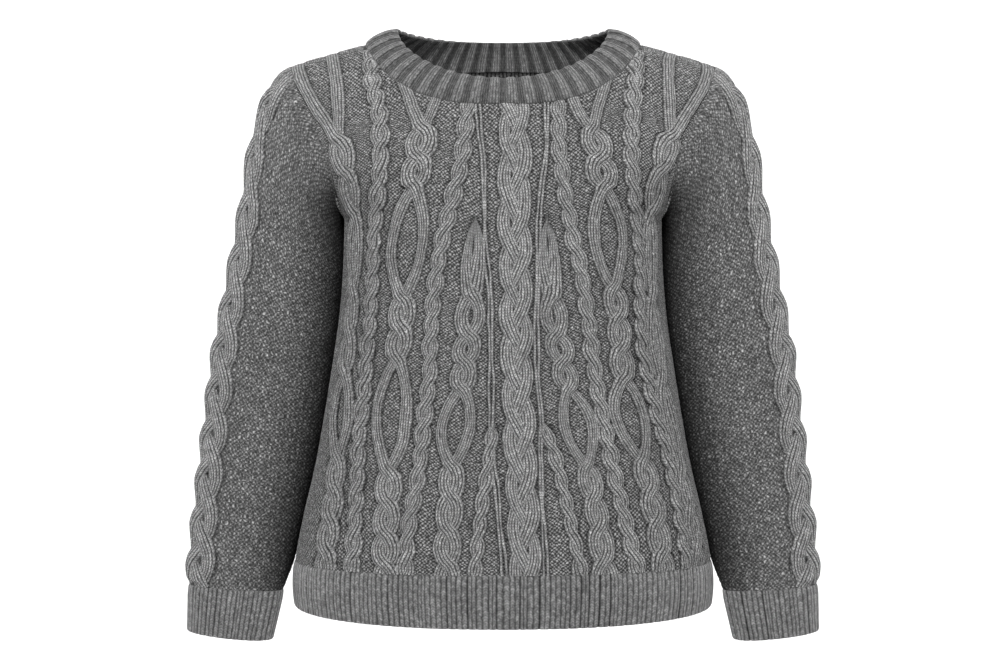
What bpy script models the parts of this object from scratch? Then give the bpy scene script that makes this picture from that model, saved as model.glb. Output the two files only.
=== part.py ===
"""Crew neck pullover in cable knit, standing open as if worn, with nothing inside it.

The numbers are millimetres and the scene is in metres. X runs across the chest towards the wearer's left
arm, the front faces -Y and Z is up. Z is 0 where the shoulder seams reach the neck. Cloth is placed by how
far across it lies from the centre line and how far up it lies from the hem, both along the cloth.
"""

import math

import bmesh
import bpy
import numpy as np

MM = 0.001

# Driving sizes
WALL = 2.4  # thickness of the knitted ground
SEAM = 0.3  # gap between pieces that are sewn together
HEM_Z = -580.0
HEM_BAND = 52.0  # height of the ribbed hem
HEM_LIFT = 9.0  # how much higher the hem's edge is at the side seams
CHEST_UP = 400.0  # the underarm, up from the hem
CHEST_Z = HEM_Z + CHEST_UP
RING_POWER = 2.4  # how square the body is in plan: 2 is an ellipse
SHOULDER_LINE_PEAK = 20.0  # where the shoulder lines would meet over the neck
SHOULDER_LINE_REACH = 138.0  # where that line is back at Z = 0
SHOULDER_LINE_POWER = 1.65
SHOULDER_WIDENING = 81.0  # how far the chest widens into the shoulders, each side
ROLL = (100.0, 185.0)  # depth and height of the round over the shoulder
FULLER_AT_SHOULDER = {"front": -0.25, "back": 0.4}  # the back stays deep longer than the front
NECK_HALF = 143.0  # half of the neckline, measured across the cloth
NECK_POWERS = (2.5, 2.0)
NECK_DROP = {"front": 128.8, "back": 67.9}  # down the cloth from the shoulder line
OPENING_HALF = 109.0  # half of the width inside the neckband
OPENING_DEPTH = {"front": 78.0, "back": 75.0}
OPENING_TOP = 16.2
OPENING_DIP = {"front": 63.4, "back": 1.5}
OPENING_POWER = {"front": 1.0, "back": 1.4}  # how slowly the opening leaves the shoulder
DIP_POWER = 1.15
BAND_WALL = 3.2
BAND_SWELL = 2.5

# The body below the underarm: height above the hem, half width, and depth before and behind the side seams
BODY = (
    ("up", "half_width", "front", "back"),
    (0, 211.0, 120.0, 111.0),
    (25, 213.5, 123.0, 114.0),
    (52, 212.0, 125.0, 115.0),
    (100, 203.0, 121.0, 112.0),
    (150, 191.5, 116.0, 109.0),
    (200, 182.5, 112.0, 106.0),
    (250, 174.5, 109.0, 103.0),
    (300, 167.5, 108.0, 101.0),
    (350, 163.5, 107.5, 100.0),
    (400, 162.0, 107.0, 100.0),
)

# The edge that the sleeve is sewn to
ARMHOLE = (
    ("up", "front", "back"),
    (400, 224, 222),
    (406, 209, 208),
    (416, 197, 198),
    (434, 189, 191),
    (460, 187, 188),
    (495, 196, 195),
    (519, 203, 202),
    (549, 213, 212),
    (590, 220, 220),
    (629, 225, 225),
)

# Where each cable's middle runs on the front, across from the centre line
FRONT_TRACKS = (
    ("up", "shoulder_r", "rope_r", "oval_r", "slim_r", "wedge_r", "rib_r", "plait",
     "rib_l", "wedge_l", "slim_l", "oval_l", "rope_l", "shoulder_l"),
    (52, -173, -152, -114, -94, -54, -13, 22, 58, 99, 132, 161, 192, 212),
    (100, -172, -149, -113, -90, -52, -13, 19, 52, 92, 120, 154, 186, 204),
    (150, -170, -147, -112, -81, -49, -12, 17, 45, 82, 107, 142, 176, 192),
    (200, -162, -144, -110, -75, -45, -11, 15, 37, 72, 98, 127, 161, 176),
    (250, -156, -139, -105, -71, -37, -11, 14, 33, 59, 88, 119, 147, 165),
    (300, -152, -136, -100, -69, -31, -12, 13, 33, 49, 82, 114, 143, 161),
    (350, -151, -135, -97, -63, -29, -15, 12, 34, 46, 74, 107, 143, 159),
    (400, -149, -133, -91, -52, -25, -16, 11, 34, 41, 63, 103, 138, 154),
    (450, -152, -126, -83, -39, -19, -11, 11, 31, 38, 56, 95, 127, 153),
    (500, -168, -126, -78, -34, -24, -13, 10, 31, 42, 54, 82, 125, 167),
    (550, -185, -129, -82, -38, -27, -13, 10, 31, 45, 57, 84, 128, 183),
    (629, -197, -131, -86, -42, -30, -13, 10, 31, 48, 60, 88, 130, 194),
)

BACK_TRACKS = (
    ("up", "rope_r", "oval_r", "plait", "oval_l", "rope_l"),
    (52, -138, -74, 0, 74, 138),
    (200, -124, -66, 0, 66, 124),
    (350, -112, -60, 0, 60, 112),
    (500, -112, -60, 0, 60, 112),
    (629, -118, -62, 0, 62, 118),
)

# Where two strands cross, up from the hem, and how far each swings out from the middle above that crossing
CROSSINGS = {
    "oval_r": ((34, 8), (62, 8), (90, 8), (120, 8), (150, 17), (258, 8), (288, 8), (318, 16),
               (424, 8), (452, 8), (481, 22), (640, 0)),
    "oval_l": ((42, 8), (70, 8), (100, 8), (130, 8), (160, 17), (238, 8), (268, 8), (298, 8), (328, 16),
               (424, 8), (452, 8), (481, 22), (640, 0)),
    "wedge_r": ((34, 7), (62, 7), (92, 7), (122, 7), (152, 14), (238, 7), (265, 7), (292, 7), (320, 8),
                (392, 0)),
    "wedge_l": ((34, 7), (62, 7), (92, 7), (121, 7), (150, 14), (236, 7), (263, 7), (290, 7), (317, 8),
                (392, 0)),
    "shoulder_r": ((0, 6), (105, 6), (215, 6), (325, 6), (440, 7), (478, 19.5), (700, 0)),
    "shoulder_l": ((0, 6), (105, 6), (215, 6), (325, 6), (445, 7), (486, 19.5), (700, 0)),
    "back_oval": ((34, 8), (62, 8), (92, 8), (122, 16), (222, 8), (252, 8), (282, 16), (382, 8),
                  (412, 8), (442, 16), (542, 8), (572, 8), (640, 0)),
}

# The thin rib opens into two ropes towards the hem: how far each lies from the middle
RIB_SPREAD = (
    ("up", "rib_r", "rib_l"),
    (52, 14.0, 17.0),
    (100, 9.8, 13.5),
    (150, 5.0, 8.8),
    (200, 2.5, 3.6),
    (250, 2.5, 2.5),
    (629, 2.5, 2.5),
)

WEDGE_NARROWS = (378.0, 412.0)  # where each wedge draws in to the thin rib that runs on to the neck
ROPE_PITCH = 21.0  # from one crossing of a rope to the next
PLAIT_PITCH = 42.0  # from one crossing on the left of a plait to the next

# Half width of a strand and how far it is raised
STRANDS = {
    "plait": (6.0, 4.2),
    "rope": (5.0, 3.2),
    "slim": (4.5, 3.0),
    "oval": (8.5, 4.0),
    "wedge": (7.0, 3.6),
    "rib": (4.5, 2.4),
    "thin": (3.0, 2.4),
    "shoulder": (6.5, 3.2),
}
PLAIT_HALF = 15.5
SLEEVE_PLAIT_HALF = 23.0

# The sleeve from the armhole to the cuff: its outer and inner lines, depth, and how far back its middle is
SLEEVE = (
    ("row", "outer_x", "outer_z", "inner_x", "inner_z", "depth", "middle_y"),
    (0, 221.0, -23.0, 162.0, -180.0, 94, 0),
    (1, 231.0, -29.5, 164.0, -175.5, 94, 4),
    (2, 242.0, -45.0, 164.0, -187.0, 92, 10),
    (3, 252.0, -72.0, 163.0, -199.0, 88, 17),
    (4, 262.0, -105.0, 162.8, -214.0, 82, 22),
    (5, 271.0, -158.0, 164.0, -237.0, 76, 26),
    (6, 281.0, -211.0, 168.0, -270.0, 72, 28),
    (7, 291.0, -263.0, 172.5, -308.0, 70, 28),
    (8, 300.8, -314.0, 179.0, -350.0, 68, 27),
    (9, 307.0, -366.0, 186.5, -395.0, 66, 25),
    (10, 313.0, -417.0, 195.0, -440.0, 64, 23),
    (11, 318.3, -469.0, 205.0, -487.0, 62, 20),
    (12, 323.4, -520.0, 217.5, -533.0, 59, 16),
    (13, 325.0, -556.0, 228.5, -562.5, 56, 13),
)
CUFF_END = (325.5, -604.0, 240.0, -614.0, 53, 10)  # the same columns at the cuff's edge
SLEEVE_POWER = 2.2
SLEEVE_BLEND = 4.0  # rows of that table over which the armhole's shape is left behind
SLEEVE_PLAIT_FORWARD = 20.0  # the plait's middle, forward of the sleeve's outermost line

RIB_RISE = 1.6
NECK_RIB = 17.5  # pitch of the ribs, each time a raised rib and a furrow
HEM_RIB = 9.5
CUFF_RIB = 9.5

# Soft folds: the piece, the middle's place across and up, length, width, depth, and how far it leans
FOLDS = (
    ("front", -5, 62, 90, 14, 2.2, 0.02),
    ("front", -176, 330, 170, 40, 2.8, 0.10),
    ("front", 178, 320, 180, 42, 2.8, -0.12),
    ("front", -150, 90, 190, 50, 3.0, -0.12),
    ("front", 120, 70, 160, 52, 2.6, 0.10),
    ("front", 40, 40, 110, 46, 2.0, 0.05),
    ("back", -150, 330, 190, 44, 3.0, 0.16),
    ("back", 152, 345, 200, 42, 3.0, -0.14),
    ("back", -70, 120, 240, 54, 3.4, -0.06),
    ("back", 46, 150, 200, 50, 3.0, 0.05),
    ("back", 150, 90, 190, 52, 3.0, 0.10),
    ("back", 0, 470, 150, 64, 2.8, 0.0),
)

# How the walls are divided
BODY_ROWS = {"front": (30, 16), "back": (22, 15)}  # below the underarm, and above it
SLEEVE_ROW = 11.5
INSIDE_ACROSS = 21.0  # about how far apart the inside's points are across the cloth
INSIDE_UP = (("up", "spacing"), (0, 46), (380, 46), (400, 27), (560, 27), (580, 14), (629, 14))
INSIDE_SLEEVE_ROWS = 4  # rows of the sleeve from one of its inside rows to the next
INSIDE_RIB_COLUMNS = 3  # columns of a ribbed band from one of its inside points to the next
SLEEVE_PLAIN_COLUMNS = 9
COLUMNS = {
    "corner": 1, "ground": 1, "rope": 4, "slim": 4,
    "rib": 5, "wedge": 5, "shoulder": 5, "plait": 6, "oval": 7,
}
COLUMN_STEP = 0.8  # least distance between two columns
CORNER_FROM = 440.0  # above this the ground beside the neck rope leans in to the end of the neckline
ROUND_RIB = ((0.0, 0.0), (0.3, 1.0), (0.7, 1.0))  # share of a rib's pitch, and of its rise
PLAIN_RIB = ((0.0, 0.0), (0.5, 1.0))

# Cables from the wearer's right to their left: its track, its kind, and the table that shapes it
FRONT_CABLES = (
    ("shoulder_r", "shoulder", "shoulder_r"),
    ("", "corner", ""),
    ("rope_r", "rope", "rope_r"),
    ("oval_r", "oval", "oval_r"),
    ("slim_r", "slim", "slim_r"),
    ("wedge_r", "wedge", "wedge_r"),
    ("rib_r", "rib", "rib_r"),
    ("plait", "plait", "plait"),
    ("rib_l", "rib", "rib_l"),
    ("wedge_l", "wedge", "wedge_l"),
    ("slim_l", "slim", "slim_l"),
    ("oval_l", "oval", "oval_l"),
    ("rope_l", "rope", "rope_l"),
    ("", "corner", ""),
    ("shoulder_l", "shoulder", "shoulder_l"),
)
BACK_CABLES = (
    ("", "ground", ""),
    ("", "ground", ""),
    ("", "corner", ""),
    ("rope_r", "rope", "rope_r"),
    ("", "ground", ""),
    ("oval_r", "oval", "back_oval"),
    ("plait", "plait", "plait"),
    ("oval_l", "oval", "back_oval"),
    ("", "ground", ""),
    ("rope_l", "rope", "rope_l"),
    ("", "corner", ""),
    ("", "ground", ""),
    ("", "ground", ""),
)

YARN = {"colour": (0.155, 0.158, 0.162, 1.0), "roughness": 0.9}


def read(table, name, at):
    """A column of a table on a smooth curve through its rows, the first column being the place."""
    rows = np.array(table[1:], float)
    place, value = rows[:, 0], rows[:, table[0].index(name)]
    slope = np.gradient(value, place)
    at = np.clip(at, place[0], place[-1])
    row = np.clip(np.searchsorted(place, at, side="right") - 1, 0, len(place) - 2)
    span = place[row + 1] - place[row]
    t = (at - place[row]) / span
    start = (1 + 2 * t) * (1 - t) ** 2 * value[row] + t * (1 - t) ** 2 * span * slope[row]
    end = t * t * (3 - 2 * t) * value[row + 1] + t * t * (t - 1) * span * slope[row + 1]
    return start + end


def unit(vectors):
    return vectors / np.linalg.norm(vectors, axis=-1, keepdims=True)


def lengths_along(points):
    """Distance along a line of points from its first one, the line running down the second last axis."""
    steps = np.linalg.norm(np.diff(points, axis=-2), axis=-1)
    return np.concatenate([np.zeros_like(steps[..., :1]), np.cumsum(steps, axis=-1)], axis=-1)


ROLL_ANGLES = np.linspace(0, math.pi / 2, 300)
ROLL_CURVE = np.stack([ROLL[0] * np.cos(ROLL_ANGLES), ROLL[1] * np.sin(ROLL_ANGLES)], -1)
ROLL_LENGTHS = lengths_along(ROLL_CURVE)
RIDGE_UP = CHEST_UP + ROLL_LENGTHS[-1]  # the shoulder seam, up the cloth from the hem


def shoulder_line(x):
    """Height of the shoulder seam at each distance from the neck."""
    return SHOULDER_LINE_PEAK * (1 - (np.abs(x) / SHOULDER_LINE_REACH) ** SHOULDER_LINE_POWER)


def body_point(side, angle, up):
    """A point of the body, by its angle round from the centre line and its height up the cloth."""
    roll = np.interp(up - CHEST_UP, ROLL_LENGTHS, ROLL_ANGLES)
    width = read(BODY, "half_width", up) + SHOULDER_WIDENING * np.sin(roll)
    depth = read(BODY, side, up) * (1 + FULLER_AT_SHOULDER[side] * np.sin(roll) ** 2) * np.cos(roll)
    x = width * np.sin(angle) ** (2 / RING_POWER)
    y = depth * np.cos(angle) ** (2 / RING_POWER) * (-1 if side == "front" else 1)
    chest = np.minimum(up + HEM_Z, CHEST_Z)
    z = chest + np.where(up > CHEST_UP, (shoulder_line(x) - CHEST_Z) * np.sin(roll), 0)
    return np.stack([x, y, z], -1)


class Cloth:
    """The front or the back of the body as cloth, with points found by distances along it."""

    def __init__(self, side):
        self.side = side
        self.ups = np.linspace(0, RIDGE_UP, 240)
        angles = np.linspace(0, math.pi / 2, 121)
        lengths = lengths_along(body_point(side, angles[None], self.ups[:, None]))
        self.widths = lengths[:, -1]
        self.shares = np.linspace(0, 1, len(angles))
        rows = zip(self.widths, lengths)
        self.angles = np.array([np.interp(self.shares * width, along, angles) for width, along in rows])

    def half(self, up):
        """From the centre line to the side seam, across the cloth."""
        return np.interp(up, self.ups, self.widths)

    def at(self, across, up):
        across, up = np.broadcast_arrays(np.asarray(across, float), np.asarray(up, float))
        row = np.clip(up / RIDGE_UP, 0, 1) * (len(self.ups) - 1)
        low = np.minimum(row.astype(int), len(self.ups) - 2)
        row = row - low
        share = np.clip(np.abs(across) / self.half(up), 0, 1) * (len(self.shares) - 1)
        left = np.minimum(share.astype(int), len(self.shares) - 2)
        share = share - left
        below = self.angles[low, left] * (1 - share) + self.angles[low, left + 1] * share
        low = low + 1
        above = self.angles[low, left] * (1 - share) + self.angles[low, left + 1] * share
        point = body_point(self.side, below * (1 - row) + above * row, up)
        point[..., 0] *= np.where(across < 0, -1, 1)
        return point

    def normal(self, across, up, step=1.0):
        across, up = np.broadcast_arrays(np.asarray(across, float), np.asarray(up, float))
        over = self.at(across + step, up) - self.at(across - step, up)
        rise = self.at(across, up + step) - self.at(across, up - step)
        facing = -1 if self.side == "front" else 1
        normal = unit(np.cross(rise, over))
        return normal * np.sign(normal[..., 1:2] * facing + 1e-9)

    def armhole(self, up):
        """Half width of the panel at each height, to the side seam or else to the armhole."""
        half = self.half(up)
        return np.where(up > CHEST_UP, np.minimum(half, read(ARMHOLE, self.side, up)), half)

    def neckline(self, across):
        """Where the panel ends at the top: the neckline, and the shoulder seam beyond it."""
        inside = np.clip(np.abs(across) / NECK_HALF, 0, 1)
        drop = (1 - inside ** NECK_POWERS[0]) ** (1 / NECK_POWERS[1])
        return RIDGE_UP - NECK_DROP[self.side] * drop


def rope_strands(up, half, pitch=ROPE_PITCH):
    """Two strands wound round each other: how far each is from the middle, and how high, from -1 to 1."""
    turn = math.pi * (up / pitch + 0.25)
    swing = half * np.cos(turn)
    return [(swing, np.sin(turn)), (-swing, -np.sin(turn))]


def plait_strands(up, half, pitch=PLAIT_PITCH):
    """Three strands, the outer ones crossing in to the middle in turn."""
    strands = []
    for strand in range(3):
        turn = 2 * math.pi * (up / (3 * pitch) + strand / 3)
        strands.append((half * np.sin(turn), -np.cos(2 * turn + math.pi / 2)))
    return strands


def crossed_strands(up, crossings):
    """Two strands that swap sides at each crossing and swing apart between them."""
    up = np.asarray(up, float)
    swing, lift = np.zeros_like(up), np.zeros_like(up)
    side = 1
    for (start, reach), (end, _) in zip(crossings, crossings[1:]):
        share = np.clip((up - start) / (end - start), 0, 1)
        here = (up >= start) & (up < end)
        swing = np.where(here, side * reach * np.sin(math.pi * share) ** 0.7, swing)
        near = np.minimum(up - start, end - up) / 14.0
        over = np.where(up - start < end - up, 1, -1)
        lift = np.where(here, side * over * np.clip(1 - near, 0, 1), lift)
        side = -side
    return [(swing, lift), (-swing, -lift)]


def strands_of(name, kind, up):
    """The strands of one cable of the front or back at the given heights."""
    if kind == "plait":
        return plait_strands(up, PLAIT_HALF - STRANDS["plait"][0])
    if kind in ("rope", "slim"):
        return rope_strands(up, 3.5)
    if kind == "rib":
        spread = read(RIB_SPREAD, name, up)
        return [(spread, np.zeros_like(spread)), (-spread, np.zeros_like(spread))]
    return crossed_strands(up, CROSSINGS[name])


def raised(strands, half, rise, offset):
    """How far the cloth is raised at an offset from a cable's middle: each strand is a round back."""
    height = np.zeros_like(np.asarray(offset, float))
    for place, lift in strands:
        round_back = np.sqrt(np.clip(1 - ((offset - place) / half) ** 2, 0, 1))
        height = np.maximum(height, rise * (0.75 + 0.25 * lift) * round_back)
    return height


def strand_size(kind, up):
    """Half width and rise of a strand. A wedge turns into a thin rib, and the rib beside it sinks away."""
    half, rise = STRANDS[kind]
    if kind in ("wedge", "rib"):
        low, high = WEDGE_NARROWS
        thin_half, thin_rise = STRANDS["thin"] if kind == "wedge" else (half, 0.0)
        narrowed = np.clip((up - low) / (high - low), 0, 1)
        half, rise = half + (thin_half - half) * narrowed, rise + (thin_rise - rise) * narrowed
    return half, rise


def cable_columns(name, kind, up):
    """Offsets from a cable's middle at which its rows have points: both edges, and its crests and furrow."""
    strands = strands_of(name, kind, up)
    half, rise = strand_size(kind, up)
    if kind == "plait":
        offsets = [share * PLAIT_HALF for share in (-1, -0.62, -0.2, 0.2, 0.62, 1)]
    elif kind in ("rope", "slim"):
        offsets = [share * (half + 3.5) for share in (-1, -0.42, 0.42, 1)]
    else:
        swing = np.abs(strands[0][0])
        crest = np.maximum(swing, 0.45 * half)
        edge = swing + half
        offsets = [-edge, -crest, 0 * edge, crest, edge]
        if kind == "oval":
            furrow = np.maximum(swing - 0.9 * half, 0.2 * half)
            offsets = [-edge, -crest, -furrow, 0 * edge, furrow, crest, edge]
    offsets = [offset + 0 * up for offset in offsets]
    return offsets, [raised(strands, half, rise, offset) for offset in offsets]


def stitched(first, first_places, second, second_places):
    """Triangles between two lines of points side by side, each point having its place along them."""
    faces = []
    i = j = 0
    while i < len(first) - 1 or j < len(second) - 1:
        end_first, end_second = i == len(first) - 1, j == len(second) - 1
        if end_second or (not end_first and first_places[i + 1] <= second_places[j + 1]):
            faces.append((first[i], first[i + 1], second[j]))
            i += 1
        else:
            faces.append((first[i], second[j + 1], second[j]))
            j += 1
    return faces


def once_round(ring, places):
    """A ring from the point nearest to its start, back to that same point."""
    places = np.mod(places, 1)
    start = int(np.argmin(places))
    ring, places = np.roll(ring, -start), np.roll(places, -start)
    return np.append(ring, ring[0]), np.append(places, places[0] + 1)


class Wall:
    """Gathers the points and faces of one piece of cloth, and makes its object."""

    def __init__(self, name):
        self.name = name
        self.points = []
        self.faces = []

    def add(self, points):
        points = np.asarray(points, float)
        start = len(self.points)
        self.points.extend(points.reshape(-1, 3))
        return np.arange(start, len(self.points)).reshape(points.shape[:-1])

    def grid(self, index, closed=False):
        """Four sided faces over rows of points. A closed grid joins its last column to its first."""
        if closed:
            index = np.concatenate([index, index[:, :1]], axis=1)
        for low, high in zip(index, index[1:]):
            self.faces.extend(zip(low, low[1:], high[1:], high))

    def join(self, first, first_places, second, second_places):
        """A strip between two lines of points whose places along them run from 0 to 1."""
        self.faces.extend(stitched(list(first), list(first_places), list(second), list(second_places)))

    def join_rings(self, first, first_places, second, second_places):
        """A strip between two closed rings, each place being a share of the way round."""
        self.join(*once_round(first, first_places), *once_round(second, second_places))

    def build(self, collection, material):
        mesh = bpy.data.meshes.new(self.name)
        points = [tuple(point * MM) for point in self.points]
        faces = [tuple(int(number) for number in face) for face in self.faces]
        mesh.from_pydata(points, [], faces)
        solid = bmesh.new()
        solid.from_mesh(mesh)
        bmesh.ops.recalc_face_normals(solid, faces=solid.faces[:])
        solid.to_mesh(mesh)
        solid.free()
        mesh.materials.append(material)
        mesh.shade_smooth()
        piece = bpy.data.objects.new(self.name, mesh)
        collection.objects.link(piece)
        return piece


def picked(places, spacing, keep=()):
    """Numbers of the places, out of a rising line of them, that are about so far apart."""
    spacing = np.broadcast_to(spacing, len(places))
    chosen = [0]
    for number in range(1, len(places)):
        if number in keep or places[number] - places[chosen[-1]] >= 0.8 * spacing[number]:
            chosen.append(number)
    return np.array(chosen)


def in_order(across):
    """The columns moved apart, where cables crowd each other, so that no two cross."""
    least = COLUMN_STEP * np.arange(across.shape[-1])
    pushed_on = np.maximum.accumulate(across - least, axis=-1)
    pushed_back = np.minimum.accumulate((across - least)[..., ::-1], axis=-1)[..., ::-1]
    return 0.5 * (pushed_on + pushed_back) + least


class Panel:
    """The front or the back, with cables raised on the outside of a plain wall."""

    def __init__(self, side, cables, tracks):
        self.cloth = Cloth(side)
        self.tracks = tracks
        self.cables = cables
        below, above = BODY_ROWS[side]
        low = np.linspace(HEM_BAND + SEAM / 2, CHEST_UP, below + 1)
        shares = np.linspace(0, 1, above + 1)[1:, None]
        self.corners = self.corner_columns()
        tops = self.tops()
        self.chest_row = len(low) - 1
        low_rows = np.repeat(low[:, None], len(tops), axis=1)
        self.up = np.concatenate([low_rows, CHEST_UP + (tops - CHEST_UP) * shares])
        self.across, rise = self.own_columns(self.up)
        rise[0] = rise[-1] = 0
        every_row, last_column = np.arange(len(self.up)), len(tops) - 1
        self.few_rows = picked(self.up[:, 0], INSIDE_ACROSS * 2, keep=every_row[self.chest_row :])
        self.few_low = picked(self.across[0], INSIDE_ACROSS, keep=[last_column])
        self.few_high = picked(self.across[-1], INSIDE_ACROSS / 2, keep=[*self.corners, last_column])
        self.normal = self.seam_normals()
        ground = self.cloth.at(self.across, self.up)
        level = self.normal * (1, 1, 0)
        ground = self.on_seams(ground + level * fold_depth(side, self.across, self.up)[..., None])
        self.outer = ground + self.normal * rise[..., None]
        self.inner = self.on_seams(ground - self.normal * WALL)

    def corner_columns(self):
        """Numbers of the two columns that lean to where the neckline ends."""
        counts = [COLUMNS[kind] for _, kind, _ in self.cables]
        kinds = [kind for _, kind, _ in self.cables]
        return [2 + sum(counts[:place]) for place, kind in enumerate(kinds) if kind == "corner"]

    def columns_at(self, up):
        """How far across every column is at some heights, and how far raised, the columns being last."""
        edge, flat = self.cloth.armhole(up), 0 * up
        across, rise = [-edge, None], [flat, flat]
        for name, kind, mould in self.cables:
            if kind in ("corner", "ground"):
                across.append(None)
                rise.append(flat)
            else:
                offsets, heights = cable_columns(mould, kind, up)
                across += [read(self.tracks, name, up) + offset for offset in offsets]
                rise += heights
        across += [None, edge]
        rise += [flat, flat]
        lean = np.clip((up - CORNER_FROM) / (RIDGE_UP - CORNER_FROM), 0, 1)
        for column, place in enumerate(across):
            if place is None:
                ahead = next(number for number in range(column, len(across)) if across[number] is not None)
                before = across[column - 1]
                across[column] = before + (across[ahead] - before) / (ahead - column + 1)
            if column in self.corners:
                across[column] += (np.sign(across[column]) * NECK_HALF - across[column]) * lean
        return in_order(np.stack(across, -1)), np.stack(rise, -1)

    def own_columns(self, up):
        """The same for an array of heights whose last axis is the columns, each column at its own height."""
        across, rise = self.columns_at(up)
        return np.diagonal(across, axis1=-2, axis2=-1).copy(), np.diagonal(rise, axis1=-2, axis2=-1).copy()

    def tops(self):
        """Where the columns meet the neckline or the shoulder seam."""
        up = np.full(4 + sum(COLUMNS[kind] for _, kind, _ in self.cables), RIDGE_UP)
        for _ in range(60):
            up = 0.5 * (up + self.cloth.neckline(self.own_columns(up)[0]))
        return up

    def on_shoulder(self):
        columns = np.arange(self.up.shape[1])
        return (columns <= self.corners[0]) | (columns >= self.corners[1])

    def seam_normals(self):
        """Square to the plane of the side and shoulder seams, so that both panels agree there."""
        normal = self.cloth.normal(self.across, self.up)
        normal[: self.chest_row + 1, [0, -1], 1] = 0
        normal[-1, self.on_shoulder(), 1] = 0
        return unit(normal)

    def on_seams(self, points):
        """The edges that meet the other panel or the hem band, half of the seam's gap from it."""
        plane = SEAM / 2 * (-1 if self.cloth.side == "front" else 1)
        points[: self.chest_row + 1, [0, -1], 1] = plane
        points[-1, self.on_shoulder(), 1] = plane
        points[0, :, 2] = HEM_Z + HEM_BAND + SEAM / 2
        return points

    def wall(self):
        """Cables outside, a plain wall inside, and the edges that face the seams."""
        wall = Wall(self.cloth.side)
        rows, low, high = self.few_rows, self.few_low, self.few_high
        heights = self.up[1:-1, self.up.shape[1] // 2]
        inside_rows = 1 + picked(heights, read(INSIDE_UP, "spacing", heights), keep=[self.chest_row - 1])
        inside_columns = 1 + picked(self.across[self.chest_row, 1:-1], INSIDE_ACROSS)
        used = np.zeros(self.up.shape, bool)
        used[np.ix_(rows, [0, -1])] = used[0, low] = used[-1, high] = True
        used[np.ix_(inside_rows, inside_columns)] = True
        outer, inner = wall.add(self.outer), np.full(self.up.shape, -1)
        inner[used] = wall.add(self.inner[used])
        wall.grid(outer)
        wall.grid(inner[np.ix_(inside_rows, inside_columns)])
        around = border(inner, inside_rows, inside_columns, inside_columns)
        wall.join_rings(*border(inner, rows, low, high), *around)
        edges = [(outer[0], inner[0], low), (outer[-1], inner[-1], high),
                 (outer[:, 0], inner[:, 0], rows), (outer[:, -1], inner[:, -1], rows)]
        for number, (line, inner_line, few) in enumerate(edges):
            places = np.arange(len(line))
            # Each edge is divided in the direction in which the piece sewn to it runs.
            if (self.cloth.side == "front") == (number > 1):
                line, inner_line, few = line[::-1], inner_line[::-1], places[-1] - few[::-1]
            wall.join(line, places, inner_line[few], few)
        return wall


def border(index, rows, low, high):
    """Once round a grid by the rows chosen at its sides and the columns chosen below and above.

    Each point's place is its share of the way round, a quarter for each side of the grid.
    """
    height, width = len(index) - 1, len(index[0]) - 1
    points = [index[rows[0], low[:-1]], index[rows[:-1], low[-1]],
              index[rows[-1], high[:0:-1]], index[rows[:0:-1], high[0]]]
    places = [low[:-1] / width, 1 + rows[:-1] / height, 3 - high[:0:-1] / width, 4 - rows[:0:-1] / height]
    return np.concatenate(points), np.concatenate(places) / 4


def fold_depth(side, across, up):
    """How far the cloth is moved in or out of its smooth form."""
    depth = np.zeros(np.broadcast(across, up).shape)
    for where, at_across, at_up, length, width, deep, lean in FOLDS:
        if where == side:
            along = up - at_up
            aside = across - at_across - lean * along
            fade = np.cos(0.5 * math.pi * np.clip(np.abs(along) / (0.5 * length), 0, 1)) ** 2
            depth = depth - deep * fade * np.exp(-((aside / (0.5 * width)) ** 2))
    return depth


class Ring:
    """A closed edge that a piece is sewn to: outer and inner points, which way out is, and its places."""

    def __init__(self, outer, inner, normal, few, half, beyond):
        along = unit(np.roll(outer, -1, 0) - np.roll(outer, 1, 0))
        away = unit(np.cross(normal, along))
        away = away * np.sign((away * (beyond - outer)).sum(-1, keepdims=True).mean())
        self.outer, self.inner = outer + away * SEAM, inner + away * SEAM
        self.normal, self.few = normal, few
        first = lengths_along(outer[: half + 1])
        second = lengths_along(np.concatenate([outer[half:], outer[:1]]))
        self.places = np.concatenate([0.5 * first / first[-1], 0.5 + 0.5 * second[1:-1] / second[-1]])

    def at(self, shares, points):
        """Points of the ring at shares of the way round, each half counted by its own length."""
        places, closed = np.append(self.places, 1.0), np.concatenate([points, points[:1]])
        return np.stack([np.interp(np.mod(shares, 1), places, closed[:, axis]) for axis in range(3)], -1)

    def start(self, wall):
        """The first edge of the piece that is sewn on, closed by the face of its seam."""
        outer, inner = wall.add(self.outer), wall.add(self.inner[self.few])
        index = np.arange(len(outer)) / len(outer)
        wall.join_rings(outer, index, inner, index[self.few])
        return outer, inner


def armhole_ring(front, back, sign):
    """From the shoulder down the front to the underarm and up the back."""
    column = 0 if sign < 0 else -1
    edges = []
    for name in ("outer", "inner", "normal"):
        down = getattr(front, name)[front.chest_row :, column][::-1]
        up = getattr(back, name)[back.chest_row :, column]
        shoulder, under = 0.5 * (down[0] + up[-1]), 0.5 * (down[-1] + up[0])
        edges.append(np.concatenate([[shoulder], down[1:-1], [under], up[1:-1]]))
    half = len(front.up) - 1 - front.chest_row
    front_few = len(front.up) - 1 - front.few_rows[front.few_rows > front.chest_row][::-1]
    back_few = half + back.few_rows[back.few_rows >= back.chest_row][:-1] - back.chest_row
    outer, inner, normal = edges
    normal = unit(normal)
    beyond = np.array([sign * SLEEVE[3][1], 0, SLEEVE[3][2]])
    return Ring(outer, inner, normal, np.concatenate([front_few, back_few]), half, beyond)


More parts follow.
